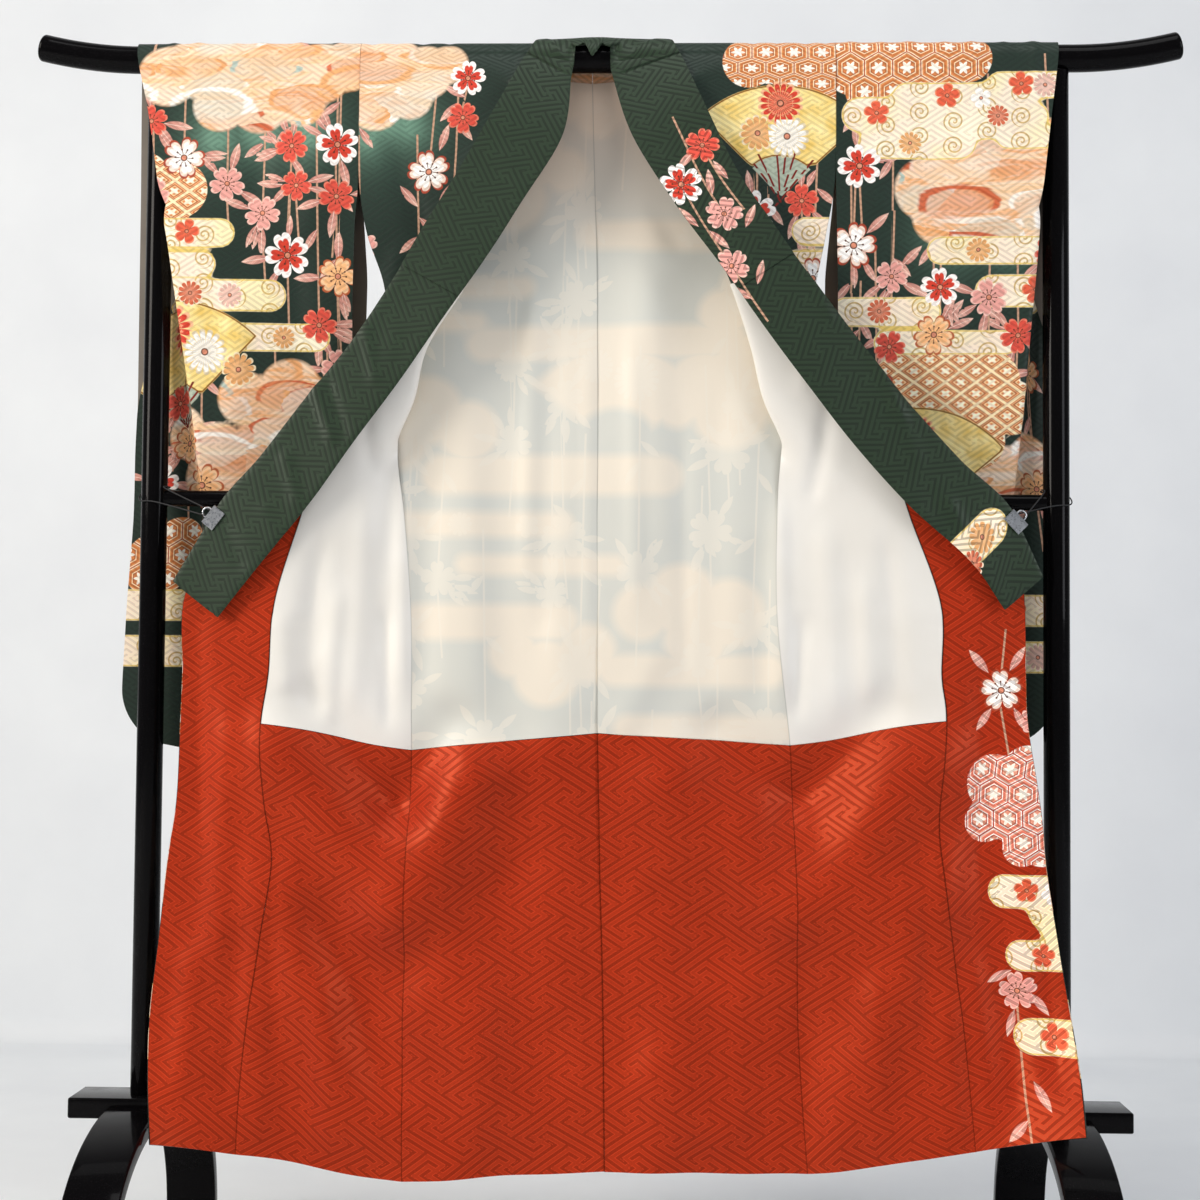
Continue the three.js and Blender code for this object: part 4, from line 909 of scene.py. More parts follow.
outer_silk = Finish("painted figured satin", roughness=0.5, specular_ior_level=0.25)
look, _, _, silk_place = painted_layers(outer_silk, colour("223028"))
satin(outer_silk, look, silk_place, 0.0084, contrast=0.24, edge=0.08)
back_design = blossom_layout(
    11, (-330, 250, 330, 1790), 46, keep_off=[(-200, 1650, 120), (210, 1500, 120), (60, 1250, 110), (-180, 620, 150),
                                            (190, 480, 140)],
    clouds=[(-50, 1775, 44), (10, 1785, 46), (60, 1770, 42), (-10, 1745, 40), (-250, 1690, 70), (-180, 1710, 62),
            (-110, 1680, 55), (-210, 1640, 66), (-140, 1620, 58),
            (-60, 1660, 40), (150, 1330, 60), (220, 1350, 66), (280, 1320, 58), (190, 1290, 62), (110, 1300, 40),
            (-230, 720, 72), (-160, 740, 66), (-90, 715, 58), (-200, 670, 66), (-120, 655, 60),
            (120, 1010, 60), (60, 990, 48), (190, 990, 58), (140, 950, 54)],
    bands=[(-240, 1195, 90, 1195, 36), (-180, 1392, 190, 1400, 32), (-270, 975, -60, 975, 33),
           (-20, 1562, 200, 1562, 28), (20, 905, 250, 905, 30),
           (-330, 1480, -120, 1480, 23), (-360, 1425, -190, 1425, 21), (60, 1560, 330, 1560, 24), (170, 1610, 360,
                                            1610, 20),
           (-300, 1120, -60, 1120, 25), (-200, 1060, 20, 1060, 22), (40, 820, 330, 820, 26), (150, 760, 360, 760, 22),
           (-330, 520, -100, 520, 26), (-240, 455, 30, 455, 23), (60, 330, 330, 330, 27)],
    shells=[(230, 1480, 60), (290, 1450, 52), (180, 1440, 44), (-80, 900, 56), (-20, 930, 50), (-130, 930, 44),
            (240, 560, 70), (300, 600, 60), (180, 600, 52), (250, 640, 48)],
    diamonds=[(-260, 1290, 58), (-200, 1260, 52), (-300, 1240, 46), (-250, 330, 70), (-180, 300, 60),
              (-300, 290, 56)],
    fans=[(20, 1230, 60, 165, 0.5, 2.5), (-40, 560, 60, 150, 0.8, 2.6)],
    glow=[(-150, 1560, 30), (130, 1400, 30), (-160, 800, 40)])
back_design["flowers"] += [(50, 1340, 34, 0.3, "red mum"), (-10, 1360, 26, 0.9, "white mum"),
                           (-30, 660, 32, 0.2, "red mum"),
                           *[(s, t, 18, 0.4 * k, k2) for k, (s, t, k2) in enumerate([
                               (-250, 1480, "plum"), (-180, 1482, "pale plum"), (130, 1560, "plum"), (220, 1562,
                                            "pale mum"),
                               (-210, 1120, "rust mum"), (-110, 1118, "plum"), (120, 820, "plum"), (230, 822,
                                            "gold mum"),
                               (-250, 520, "plum"), (-120, 455, "pale mum"), (140, 330, "rust mum"), (240, 330, "plum")])]]
body_creases = {
    "right": [(-530, 860, -230, 480, 24, 58), (-450, 900, -262, 650, -15, 40), (-350, 470, -130, 830, 22, 56),
              (-330, 660, -190, 870, -14, 38),
              (-510, 680, -300, 150, 18, 50), (-425, 600, -280, 240, -12, 40), (-290, 480, -40, 190, 13,
                                            60), (-200, 720, -40, 800, 5, 34),
              (-230, 540, -40, 660, -6, 44), (-105, 1520, -112, 1000, 4.5, 14), (-22, 1440, -16, 900, 3.5,
                                            12), (-70, 1500, -90, 860, -4, 20),
              (-200, 1350, -176, 820, 5, 26), (-250, 1250, -262, 820, -5, 22), (-150, 520, -160, 190, 7,
                                            36), (-228, 480, -215, 170, -6, 30),
              (-60, 420, -70, 170, -5, 30), (-60, 1720, -150, 1540, -4, 20), (-120, 1760, -230, 1620, 3,
                                            18), (-90, 980, -20, 820, 3, 26),
              (-330, 1700, -230, 1480, -4, 16), (-300, 1560, -345, 1330, 3, 14), (-372, 1390, -336, 1180, -6,
                                            15), (-296, 1260, -292, 830, 7, 15),
              (-345, 1180, -366, 820, 6, 20), (-420, 1130, -432, 820, -7, 20), (-320, 1010, -312, 800, -5,
                                            12), (-385, 1040, -404, 800, 4, 14),
              (-476, 700, -470, 300, -7, 20), (-395, 480, -385, 180, 7, 26), (-470, 1000, -462, 860, 4,
                                            16), (-480, 460, -492, 200, 6, 22),
              (-545, 900, -560, 420, 7, 22), (-600, 1040, -585, 640, -5, 18), (-520, 560, -540, 240, -6, 18), (-590, 520, -600, 260, 8, 22)],
    "left": [(230, 480, 530, 840, 24, 58), (262, 680, 450, 890, -15, 40), (345, 500, 40, 800, 20, 60),
             (320, 680, 140, 860, -13, 40),
             (515, 690, 310, 150, 18, 50), (262, 400, 440, 620, 12, 46), (60, 600, 250, 470, -7, 44), (40, 350, 220,
                                            210, 7, 46),
             (44, 1450, 52, 960, 4.5, 14), (118, 1300, 126, 860, -4, 14), (60, 1540, 100, 1020, 4, 24), (180, 1380,
                                            160, 820, -5, 26),
             (262, 1180, 268, 830, 7, 14), (228, 1120, 240, 830, -5, 18), (130, 480, 150, 190, 8, 40), (226, 460,
                                            240, 170, -6, 30),
             (60, 450, 50, 170, -5, 30), (50, 1700, 120, 1520, -4, 20), (140, 1740, 210, 1600, 3, 16), (20, 800, 100,
                                            960, 4, 24),
             (300, 1690, 215, 1500, -4, 16), (330, 1480, 290, 1300, 3, 13), (345, 1340, 306, 1140, -6,
                                            15), (330, 1150, 346, 820, 6, 20),
             (420, 1130, 436, 830, -6, 18), (300, 1000, 290, 820, -5, 13), (385, 1060, 396, 840, 4, 14), (470, 700,
                                            478, 330, -7, 20),
             (398, 500, 410, 190, 8, 26), (300, 520, 318, 200, -6, 22), (500, 460, 512, 220, 6, 22), (560, 960, 548,
                                            560, -6, 20),
             (610, 820, 620, 420, 7, 22), (540, 520, 560, 230, 7, 18), (640, 520, 655, 300, -7, 16), (590, 480, 600, 260, -7, 18)]}
hem_row = 18
rows_to_hem = np.concatenate([np.linspace(0, 1, 11)[:-1], np.linspace(1, hem_row, 246)])
bar_puckers = [(-655, 1775, 1.6, 7), (-618, 1740, 2.2, 9), (-560, 1790, 1.2, 6), (-521, 1750, 1.8, 10),
               (-462, 1770, 2.0, 8),
               (-405, 1745, 1.5, 7), (-352, 1760, 1.9, 8), (-318, 1785, 1.1, 6), (-276, 1750, 1.7, 9), (-236, 1780,
                                            1.3, 7),
               (222, 1765, 1.6, 8), (258, 1785, 1.2, 6), (301, 1745, 2.0, 9), (331, 1775, 1.5, 6), (368, 1755, 1.8,
                                            8),
               (412, 1780, 1.2, 7), (455, 1740, 2.1, 10), (509, 1775, 1.4, 7), (548, 1755, 1.9, 8), (596, 1785, 1.2, 6), (640, 1750, 1.8, 8)]


def surface_of(form, side, hold=0.0):
    """A body form with its side's creases and slack, held still round the bar and, by the share of its width
    in hold, at the edge that lies under the collar above row 10; it keeps in front of the bottom board."""
    def calm(u, v):
        under_collar = (1 - ease((1 - u) / max(hold, 1e-6))) * (v < 10.2) if hold else 0
        return ease((v - 1.2) / 2.2) * (1 - under_collar)

    loose = creased(lambda u, v: form(side, u, v), -SIGN[side], body_creases[side], 1.6, 21 + SIGN[side], calm,
                    lambda u, v: 1 + 1.6 * ease((v - 9.5) / 4), bar_puckers, forward=True)

    def clear(u, v):
        p = loose(u, v)
        before_board = -48 + 60 * ease((abs(p[..., 2] - 257) - 22) / 60)
        return np.stack([p[..., 0], -1.5 * np.logaddexp(-p[..., 1] / 1.5, -before_board / 1.5), p[..., 2]], -1)

    return clear


for side, sign in SIGN.items():
    surface = surface_of(back_form, side)
    cloth(f"back panel {side}", surface, np.linspace(0, 1, 52), rows_to_hem, sign,
                             silk_wall, 0, outer_silk, plan=upright(surface), design=back_design,
                             seams=(0, 1), seam_dip=0,
                             node=f"back_{side}")


# ---- Outer silk: front panels -------------------------------------------------------------
# The same widths as the back, going on over the shoulder. Hung open, each turns over on itself along a
# soft fold, so that its lining comes to the front.
overlap_from = 4


def front_form(side, u, row):
    """Front panel, u 0 at the side seam to 1 at the overlap's seam. Its section is a cubic whose two
    inner control points lie at the fold, one in each layer; above row 1 it bends over the bar."""
    sign, t = SIGN[side], {name: spline(values, row) for name, values in body[side].items()}
    side_out, seam_out = t["sideOut"] + 0.15 * (row >= 9), t["seamOut"] - 0.1 * (row >= overlap_from)
    fold = (t["foldOut"] - (side_out + seam_out) / 8) / 0.75
    w = [(1 - u) ** 3, 3 * (1 - u) ** 2 * u, 3 * (1 - u) * u * u, u ** 3]
    out = w[0] * side_out + (w[1] + w[2]) * fold + w[3] * seam_out
    near, far = t["frontY"], t["seamY"]
    y = w[0] * near + w[1] * (near * 0.75 + far * 0.25) + w[2] * (near * 0.15 + far * 0.85) + w[3] * far
    z = t["sideZ"] * (1 - u) + t["seamZ"] * u
    y_bar, z_bar = over_bar(-(0.02 + (np.pi / 2 - 0.02) * row))
    return np.stack([sign * out, np.where(row <= 1, y_bar, y), np.where(row <= 1, z_bar, z)], -1)


front_designs = {
    "right": blossom_layout(
        5, (170, 1330, 370, 1560), 3, keep_off=[(300, 1790, 90)],
        clouds=[(300, 694, 60), (240, 722, 50), (190, 690, 46), (222, 650, 42),
                (370, 1800, 52), (320, 1812, 46), (270, 1800, 42), (345, 1755, 44), (235, 1812, 30), (292, 1762, 34)],
        flowers=[(160, 972, 30, 0.4, "white"), (100, 880, 28, 0.9, "scarlet"), (170, 800, 26, 0.3, "coral"),
                 (120, 640, 32, 0.7, "scarlet"), (66, 560, 26, 0.2, "white"), (196, 500, 28, 1.1,
                                            "white"), (96, 452, 26, 0.5, "coral"),
                 (200, 352, 28, 0.2, "scarlet"),
                (205, 1790, 27, 0.4, "scarlet"), (262, 1648, 33, 0.1, "white"), (212, 1730, 24, 0.9, "coral")],
        bands=[(100, 956, 330, 956, 22), (130, 510, 330, 510, 20), (50, 446, 330, 446, 21)],
        shells=[(110, 300, 58), (60, 338, 44), (300, 313, 50)],
        stems=[(160, 1200, 160, 976, 0), (100, 1120, 100, 884, 0), (170, 960, 170, 804, 0), (120, 880, 120, 644, 0),
               (66, 800, 66, 564, 0), (200, 620, 200, 356, 0),
                (250, 1800, 262, 1650, 0), (205, 1780, 215, 1735, 0)],
        leaves=[(68, 846, 40, 4.0), (132, 842, 40, 5.3), (88, 604, 40, 3.9), (154, 602, 40, 5.4), (168, 318, 38, 4.1),
                (234, 320, 38, 5.2),
                (240, 1700, 42, 1.9), (292, 1612, 42, 4.0), (236, 1612, 42, 5.2), (225, 1770, 38, 0.5)],
        glow=[(330, 1725, 14), (295, 1718, 10), (360, 1700, 10)]),
    "left": blossom_layout(
        8, (165, 1380, 345, 1640), 6, keep_off=[(220, 1720, 70)],
        shells=[(300, 642, 60), (248, 606, 42),
                (330, 1815, 56), (270, 1822, 46), (215, 1815, 40), (345, 1770, 40)],
        bands=[(120, 891, 330, 891, 22), (60, 807, 330, 807, 20), (150, 745, 330, 745, 18), (90, 327, 330, 327, 22),
                (300, 1560, 360, 1560, 21), (250, 1512, 345, 1512, 19)],
        fans=[(262, 1610, 62, 170, 0.75, 2.35)],
        clouds=[(110, 560, 58), (60, 590, 50), (152, 602, 46), (72, 520, 44)],
        leaves=[(150, 868, 40, 4.0), (212, 866, 40, 5.3), (108, 654, 40, 3.9), (176, 652, 40, 5.4),
                (170, 434, 38, 4.1),
                (236, 436, 38, 5.2)],
        stems=[(262, 1606, 262 + 64 * math.cos(a), 1610 + 64 * math.sin(a), 1)
               for a in np.linspace(0.85, 2.25, 8)] + [
               (182, 1180, 182, 910, 0), (140, 1150, 142, 695, 0), (92, 1000, 90, 825, 0), (202, 760, 200, 475, 0),
               (120, 690, 122, 428, 0), (60, 600, 62, 356, 0)],
        flowers=[(182, 905, 30, 0.3, "scarlet"), (92, 822, 26, 1.1, "coral"), (142, 690, 32, 0.6, "white"),
                 (66, 646, 26, 0.2, "scarlet"), (202, 470, 30, 0.9, "coral"), (122, 424, 26, 0.2,
                                            "white"), (60, 352, 28, 0.5, "scarlet"),
                 (192, 344, 26, 1.3, "coral"),
                (228, 1706, 28, 0.1, "gold mum"), (272, 1702, 33, 0.6, "white mum"), (262, 1752, 34, 0.2, "red mum")])}
for side, sign in SIGN.items():
    surface = surface_of(front_form, side, hold=0.25)

    def front_plan(u, v, across, sign=sign, surface=surface):
        """Out from the middle along the cloth, and height."""
        p = surface(u, v)
        return np.stack([abs(p[:, :1, 0]) - across, p[..., 2]], -1)

    cloth(f"front panel {side}", surface, np.linspace(0, 1, 52), rows_to_hem, sign,
                              silk_wall, 0, outer_silk, plan=front_plan, design=front_designs[side],
                              seams=(0, 1), seam_dip=0,
                              node=f"front_{side}")

# ---- Outer silk: overlap panels -----------------------------------------------------------
# A half-width strip sewn to each front from the collar down to the hem. Hung open it lies outermost,
# its lining to the front, and its lower corner curls forward.


def overlap_form(side, u, row):
    """Overlap panel, u 0 at its seam to 1 at its outer edge: straight across, with a low ridge that
    grows towards the hem."""
    sign, t = SIGN[side], {name: spline(values, row) for name, values in body[side].items()}
    out = (t["seamOut"] + 0.1) * (1 - u) + t["edgeOut"] * u
    y = t["seamY"] * (1 - u) + t["edgeY"] * u + 6 * np.sin(np.pi * u) * ease((row - 10) / 4)
    return np.stack([sign * out, y, t["seamZ"] * (1 - u) + t["edgeZ"] * u], -1)


hem_design = blossom_layout(
    4, (500, 200, 680, 1000), 12, clouds=[(560, 620, 50), (610, 650, 46), (640, 600, 40), (590, 580, 44)],
    bands=[(520, 420, 660, 420, 24), (570, 360, 680, 360, 21)], shells=[(560, 880, 50), (610, 850, 46), (620, 910, 40)])
for side, sign in SIGN.items():
    surface = surface_of(overlap_form, side, hold=1.0)
    cloth(f"overlap panel {side}", surface, np.linspace(0, 1, 26),
                                np.linspace(overlap_from, hem_row, 206), sign, silk_wall, 0, outer_silk,
                                plan=upright(surface, abs), design=hem_design, seams=(0,), seam_dip=0,
                                node=f"overlap_{side}")

# ---- Upper lining -------------------------------------------------------------------------
# Plain cream silk, thin enough for the painted back to show through as a pale ghost. Cut to the same
# widths as the outer silk and seamed with it; below it the vermilion hem lining is sewn on.
upper_silk = Finish("cream lining silk", sheen_weight=0.1, sheen_roughness=0.5, specular_ior_level=0.45)
_, soft_cover, sharp_cover, lining_place = painted_layers(upper_silk, colour("2c4334"))
cloudy = upper_silk.noise(lining_place, 4.5, 3.0)
ghost = upper_silk.blend(soft_cover, colour("cfd2cc"), colour("eee3d2"))
ghost = upper_silk.blend(upper_silk.math("MULTIPLY", sharp_cover, 0.5), ghost, colour("efe8da"))
ghost = upper_silk.blend(upper_silk.math("MULTIPLY", cloudy, 0.5), ghost, colour("f0e8d6"))
_, _, high = upper_silk.add("SeparateXYZ", upper_silk.add("TexCoord", out=3)).node.outputs
# Painted shade: the lining is painted a warm brownish tone towards the top, where bar and collar shade it.
neck_height, neck_spread = 1.74, 0.42
painted_neck_shade = upper_silk.inside(upper_silk.math("SUBTRACT", neck_height, high), 0, neck_spread)
painted_neck_shade = upper_silk.math("MULTIPLY", painted_neck_shade, 0.95)
ghost = upper_silk.blend(painted_neck_shade, ghost, colour("e3bb9f"))
upper_silk.to("Base Color", upper_silk.times(ghost, seam_shade(upper_silk, 0.45)))
plain_weave = (1200, 260, 1)
upper_silk.relief(upper_silk.noise(lining_place, 1.0, 1.0, plain_weave), 0.15, 0.0002)
upper_silk.to("Roughness", upper_silk.ramp(cloudy, [(0.3, 0.4), (0.7, 0.52)]))
front_lining_silk = Finish("cream lining silk, front", roughness=0.38, sheen_weight=0.1, sheen_roughness=0.5,
                           specular_ior_level=0.55)
place = uv_map(front_lining_silk, "cloth")
plain = front_lining_silk.ramp(front_lining_silk.noise(place, 4.5, 3.0),
                               [(0.35, colour("ebe7de")), (0.65, colour("f4f1ea"))])
front_lining_silk.to("Base Color", front_lining_silk.times(plain, seam_shade(front_lining_silk, 0.4)))
front_lining_silk.relief(front_lining_silk.noise(place, 1.0, 1.0, plain_weave), 0.15, 0.0002)
# The two linings meet at row 12 with a hair between them, and reach a hair into the side seams.
lined_row, seam_rows, hair = 12, 0.004, 0.0005
to_seams, to_overlap = np.linspace(-hair, 1 + hair, 46), np.linspace(-hair, 1 + hair, 56)
for side, sign in SIGN.items():
    surface = surface_of(back_form, side)
    cloth(f"upper back lining {side}", surface, to_seams, np.linspace(1.05, lined_row - seam_rows, 140), -sign,
          lining_wall, lining_lift, upper_silk, plan=upright(surface), design=back_design, seams=(0, 1),
          node=f"upper_lining_back_{side}")
    surface = surface_of(front_form, side, hold=0.25)
    cloth(f"upper front lining {side}", surface, np.linspace(-hair, 0.997, 56),
          np.linspace(5, lined_row - seam_rows, 96), -sign, lining_wall, lining_lift + 0.4, front_lining_silk,
          seams=(0, 1),
          node=f"upper_lining_front_{side}")

# ---- Hem lining ---------------------------------------------------------------------------
# Vermilion figured satin with a larger fret, from the knee to the hem and inside both overlaps. The
# wearer's left overlap carries painted shells, mist bands and blossom down its edge.
hem_gloss = {"roughness": 0.4, "specular_ior_level": 0.65, "specular_tint": colour("ff7a4a")}
# edge is the painted highlight on the fret's outlines, seam the depth of painted shade in the seams.
hem_weave = {"pitch": 0.0122, "contrast": 0.34, "edge": 0.8, "rough": (0.36, 0.5), "seam": 1.0}
hem_silk = Finish("vermilion figured satin", **hem_gloss)
place = uv_map(hem_silk, "cloth")
hem_tone = hem_silk.ramp(hem_silk.noise(place, 3.0, 2.0), [(0.3, colour("9d2d17")), (0.7, colour("aa331a"))])
satin(hem_silk, hem_tone, place, **hem_weave)
painted_hem_silk = Finish("painted vermilion satin", **hem_gloss)
look, _, _, place = painted_layers(painted_hem_silk, colour("a42f18"), warm="e7a99c",
                                   shell_tints="e39a80 9c3526 fbf1e6 d97862 e8a48c fdf6ee b84a35")
satin(painted_hem_silk, look, place, **hem_weave)
painted_edge = {
    "shells": [(575, 745, 42), (625, 760, 40), (650, 715, 42), (600, 700, 40), (560, 690, 30), (640, 660, 34),
               (612, 652, 26), (655, 780, 26)],
    "bands": [(588, 590, 690, 590, 24), (640, 560, 690, 545, 20), (610, 500, 690, 500, 22), (665, 545, 700, 545, 30),
              (622, 388, 700, 388, 25)],
    "flowers": [(585, 880, 32, 0.4, "white"), (636, 836, 24, 1.1, "pink"), (618, 592, 18, 0.3, "plum"),
                (654, 588, 18, 0.8, "pale plum"),
                (640, 500, 18, 0.2, "plum"), (604, 450, 27, 0.5, "pink"), (652, 388, 21, 0.5, "plum"), (668, 640, 16, 0.1, "coral")],
    "leaves": [(552, 922, 44, 2.3), (608, 926, 42, 1.0), (560, 838, 40, 4.1), (612, 838, 38, 5.2),
               (578, 470, 40, 3.6), (634, 432, 40, 5.4),
               (594, 404, 40, 4.4), (630, 310, 42, 5.2), (596, 262, 40, 4.0)],
    "stems": [(585, 850, 600, 760, 0), (604, 428, 612, 230, 0), (585, 905, 590, 960, 0)]}
for side, sign in SIGN.items():
    surface = surface_of(back_form, side)
    low = np.linspace(lined_row + seam_rows, hem_row, 92)
    cloth(f"vermilion back lining {side}", surface, to_seams, low, -sign, lining_wall, lining_lift, hem_silk,
          seams=(0, 1), node=f"hem_lining_back_{side}")
    surface = surface_of(front_form, side, hold=0.25)
    cloth(f"vermilion front lining {side}", surface, to_overlap, low, -sign, lining_wall, lining_lift, hem_silk,
          seams=(0, 1),
          node=f"hem_lining_front_{side}")
    surface = surface_of(overlap_form, side, hold=1.0)
    cloth(f"vermilion overlap lining {side}", surface, np.linspace(-0.0008, 0.994, 30),
          np.linspace(8, hem_row, 170), -sign, lining_wall, lining_lift,
          painted_hem_silk if side == "left" else hem_silk, plan=upright(surface, abs),
          design=painted_edge if side == "left" else None, seams=(0,),
          node=f"overlap_lining_{side}")

# ---- Collar -------------------------------------------------------------------------------
# One long folded strip of the outer silk, sewn to both front edges and round the neck, with a shorter
# cover strip sewn over it where it touches the skin. It bends over the bar at the neck.
collar_wall, cover_wall = 2.6, 1.0
free_edge = {side: dict(zip(("out", "y", "z"), np.array(rows, float).T)) for side, rows in {
    "right": [[46, -29, 1812], [50, -31, 1790], [62, -50, 1696], [124, -62, 1589], [174, -70, 1507], [228, -75, 1427],
              [294, -78, 1329], [361, -78, 1237], [421, -77, 1152], [489, -73, 1067], [560, -66, 978]],
    "left": [[8, -29, 1812], [12, -31, 1790], [42, -50, 1697], [104, -62, 1595], [171, -70, 1503], [228, -75, 1421],
             [300, -78, 1322], [366, -78, 1237], [447, -77, 1147], [537, -73, 1066], [587, -66, 997]]}.items()}
collar_end = {"right": np.array([-630.0, -56, 1031]), "left": np.array([644.0, -57, 1046])}
under_gap, over_gap, cover_gap = 0.5, 0.4, 0.3
stack = silk_wall / 2 + under_gap + lining_wall + over_gap + collar_wall / 2


def collar_edges(side, row):
    """The collar's sewn edge and free edge at a body row: along the panel's edge to row 9, then straight
    to the clipped corner; over the bar above row 1."""
    sign, t = SIGN[side], {name: spline(values, row) for name, values in body[side].items()}
    free = {name: spline(values, row) for name, values in free_edge[side].items()}
    inner = np.stack([sign * free["out"], free["y"] - stack, free["z"]], -1)
    outer = np.stack([sign * t["edgeOut"], t["edgeY"], t["edgeZ"]], -1)
    at9 = np.array([sign * body[side]["edgeOut"][9], body[side]["edgeY"][9], body[side]["edgeZ"][9]])
    last = np.clip(row - 9, 0, 1)[..., None]
    outer = np.where(row[..., None] <= 9, outer, at9 * (1 - last) + collar_end[side] * last) - (0, stack, 0)
    y, z = over_bar(-(0.02 + (np.pi / 2 - 0.02) * row), hug + stack)
    bent = np.stack([sign * t["edgeOut"], y, z], -1)
    return np.where(row[..., None] <= 1, bent, outer), inner


def collar_form(u, station):
    """Collar, u 0 at its sewn edge to 1 at its free edge; station -11..-1 down the right side to the
    neck, -1..1 round it, 1..11 down the left. It keeps clear of the bar by moving straight away from it."""
    reach = np.abs(station)
    row = np.clip(reach - 1, 0, 10)
    limbs = []
    for side in ("right", "left"):
        outer, inner = collar_edges(side, row)
        limbs.append(outer * (1 - u[..., None]) + inner * u[..., None])
    p = np.where((station < 0)[..., None], *limbs)
    dy, dz = p[..., 1], p[..., 2] - bar_height
    away, clear = np.hypot(dy, dz), hug + stack + 5 * u
    push = np.where((away < clear) & (reach < 3.5), clear / np.maximum(away, 1e-6), 1)
    p = np.stack([p[..., 0], dy * push, bar_height + dz * push], -1)
    zero = np.zeros_like(row)
    (outer_r, inner_r), (outer_l, inner_l) = collar_edges("right", zero), collar_edges("left", zero)
    t = np.clip((station + 1) / 2, 0, 1)
    x = ((outer_r[..., 0] * (1 - u) + inner_r[..., 0] * u) * (1 - t)
         + (outer_l[..., 0] * (1 - u) + inner_l[..., 0] * u) * t)
    bow = np.sin(np.pi * t)
    start = -0.02 + 1.22 * np.minimum(1, bow * 1.6)
    end = -0.95 - 0.4 * bow - 0.35 * np.cos(4 * np.pi * (t - 0.5)) * bow
    y, z = over_bar(start * (1 - u) + end * u, hug + stack + 3 * bow)
    return np.where((reach < 1)[..., None], np.stack([x, y, z], -1), p)


collar_creases = [(-430, 1335, -388, 1222, 3.4, 8), (-410, 1345, -370, 1232, -1.8, 7),
                  (-352, 1420, -330, 1310, 2.0, 9),
                  (385, 1400, 446, 1258, 3.4, 9), (404, 1405, 462, 1270, -1.8, 7),
                  (300, 1500, 338, 1410, 2.4, 9), (-470, 1230, -440, 1130, 2.4, 10), (500, 1170, 540, 1080, 2.6,
                                            10), (-330, 1290, -300, 1420, 0.8, 14), (420, 1330, 470, 1190, 1.4, 12), (-560, 1130, -520, 1040, -1.5, 12),
                  (-500, 1150, -470, 1080, 0.9, 12), (470, 1190, 500, 1090, -0.9, 12), (240, 1560, 200, 1480, 0.9,
                                            12),
                  (-150, 1680, -120, 1600, 1.0, 12), (-90, 1740, -70, 1650, -1.0, 10), (100, 1740, 80, 1660, -1.0, 10)]
collar_surface = creased(collar_form, 1, collar_creases, 0.9, 61, lambda u, v: ease((abs(v) - 2.5) / 1.5))
collar_silk = Finish("figured collar satin", roughness=0.5, specular_ior_level=0.25)
look, _, _, place = painted_layers(collar_silk, colour("273526"))
satin(collar_silk, look, place, 0.0084, contrast=0.6, edge=0.3, lean=36)
collar_design = {
    "bands": [(40, 905, 120, 905, 26)],
    "flowers": [(30, 190, 26, 0.3, "coral"), (84, 232, 32, 0.8, "scarlet"), (52, 300, 27, 0.2, "pink"),
                (88, 372, 26, 0.9, "pink"),
                (62, 906, 24, 0.3, "gold mum"), (96, 924, 20, 0.9, "rust mum")],
    "leaves": [(60, 200, 40, 0.4), (44, 246, 40, 4.4), (100, 280, 40, 5.0), (22, 322, 40, 3.8), (80, 330, 38, 1.8),
               (58, 402, 38, 3.9),
               (100, 412, 38, 5.2), (22, 236, 36, 4.9)],
    "stems": [(52, 140, 52, 290, 0), (84, 250, 92, 460, 0), (30, 205, 24, 300, 0)]}


def collar_plan(u, v, across):
    """Across the strip, and the length along it from the neck on the wearer's left; far off elsewhere."""
    line = collar_form(0.5 + 0 * v[:, 0], v[:, 0])
    length = np.concatenate([[0], np.cumsum(np.linalg.norm(np.diff(line, axis=0), axis=1))])
    length = length - np.interp(1.0, v[:, 0], length)
    return np.stack([across, np.broadcast_to(np.where(v[:, 0] > 0, length, -5000)[:, None], u.shape)], -1)


stations = np.concatenate([np.linspace(-11, -2, 200)[:-1], np.linspace(-2, 2, 90)[:-1], np.linspace(2, 11, 200)])
collar = cloth("long collar", collar_surface, np.linspace(0, 1, 28), stations, 1, collar_wall, 0, collar_silk,
               plan=collar_plan, design=collar_design, round_edge=True,
               node="collar")
cover_stations = stations[(stations >= -5.75) & (stations <= 5.5)]
cloth("cover strip", collar_surface, np.linspace(0, 1, 28), cover_stations, 1, cover_wall,
      collar_wall / 2 + cover_gap + cover_wall / 2, collar_silk, plan=collar_plan, design=collar_design,
      round_edge=True, node="over_collar")
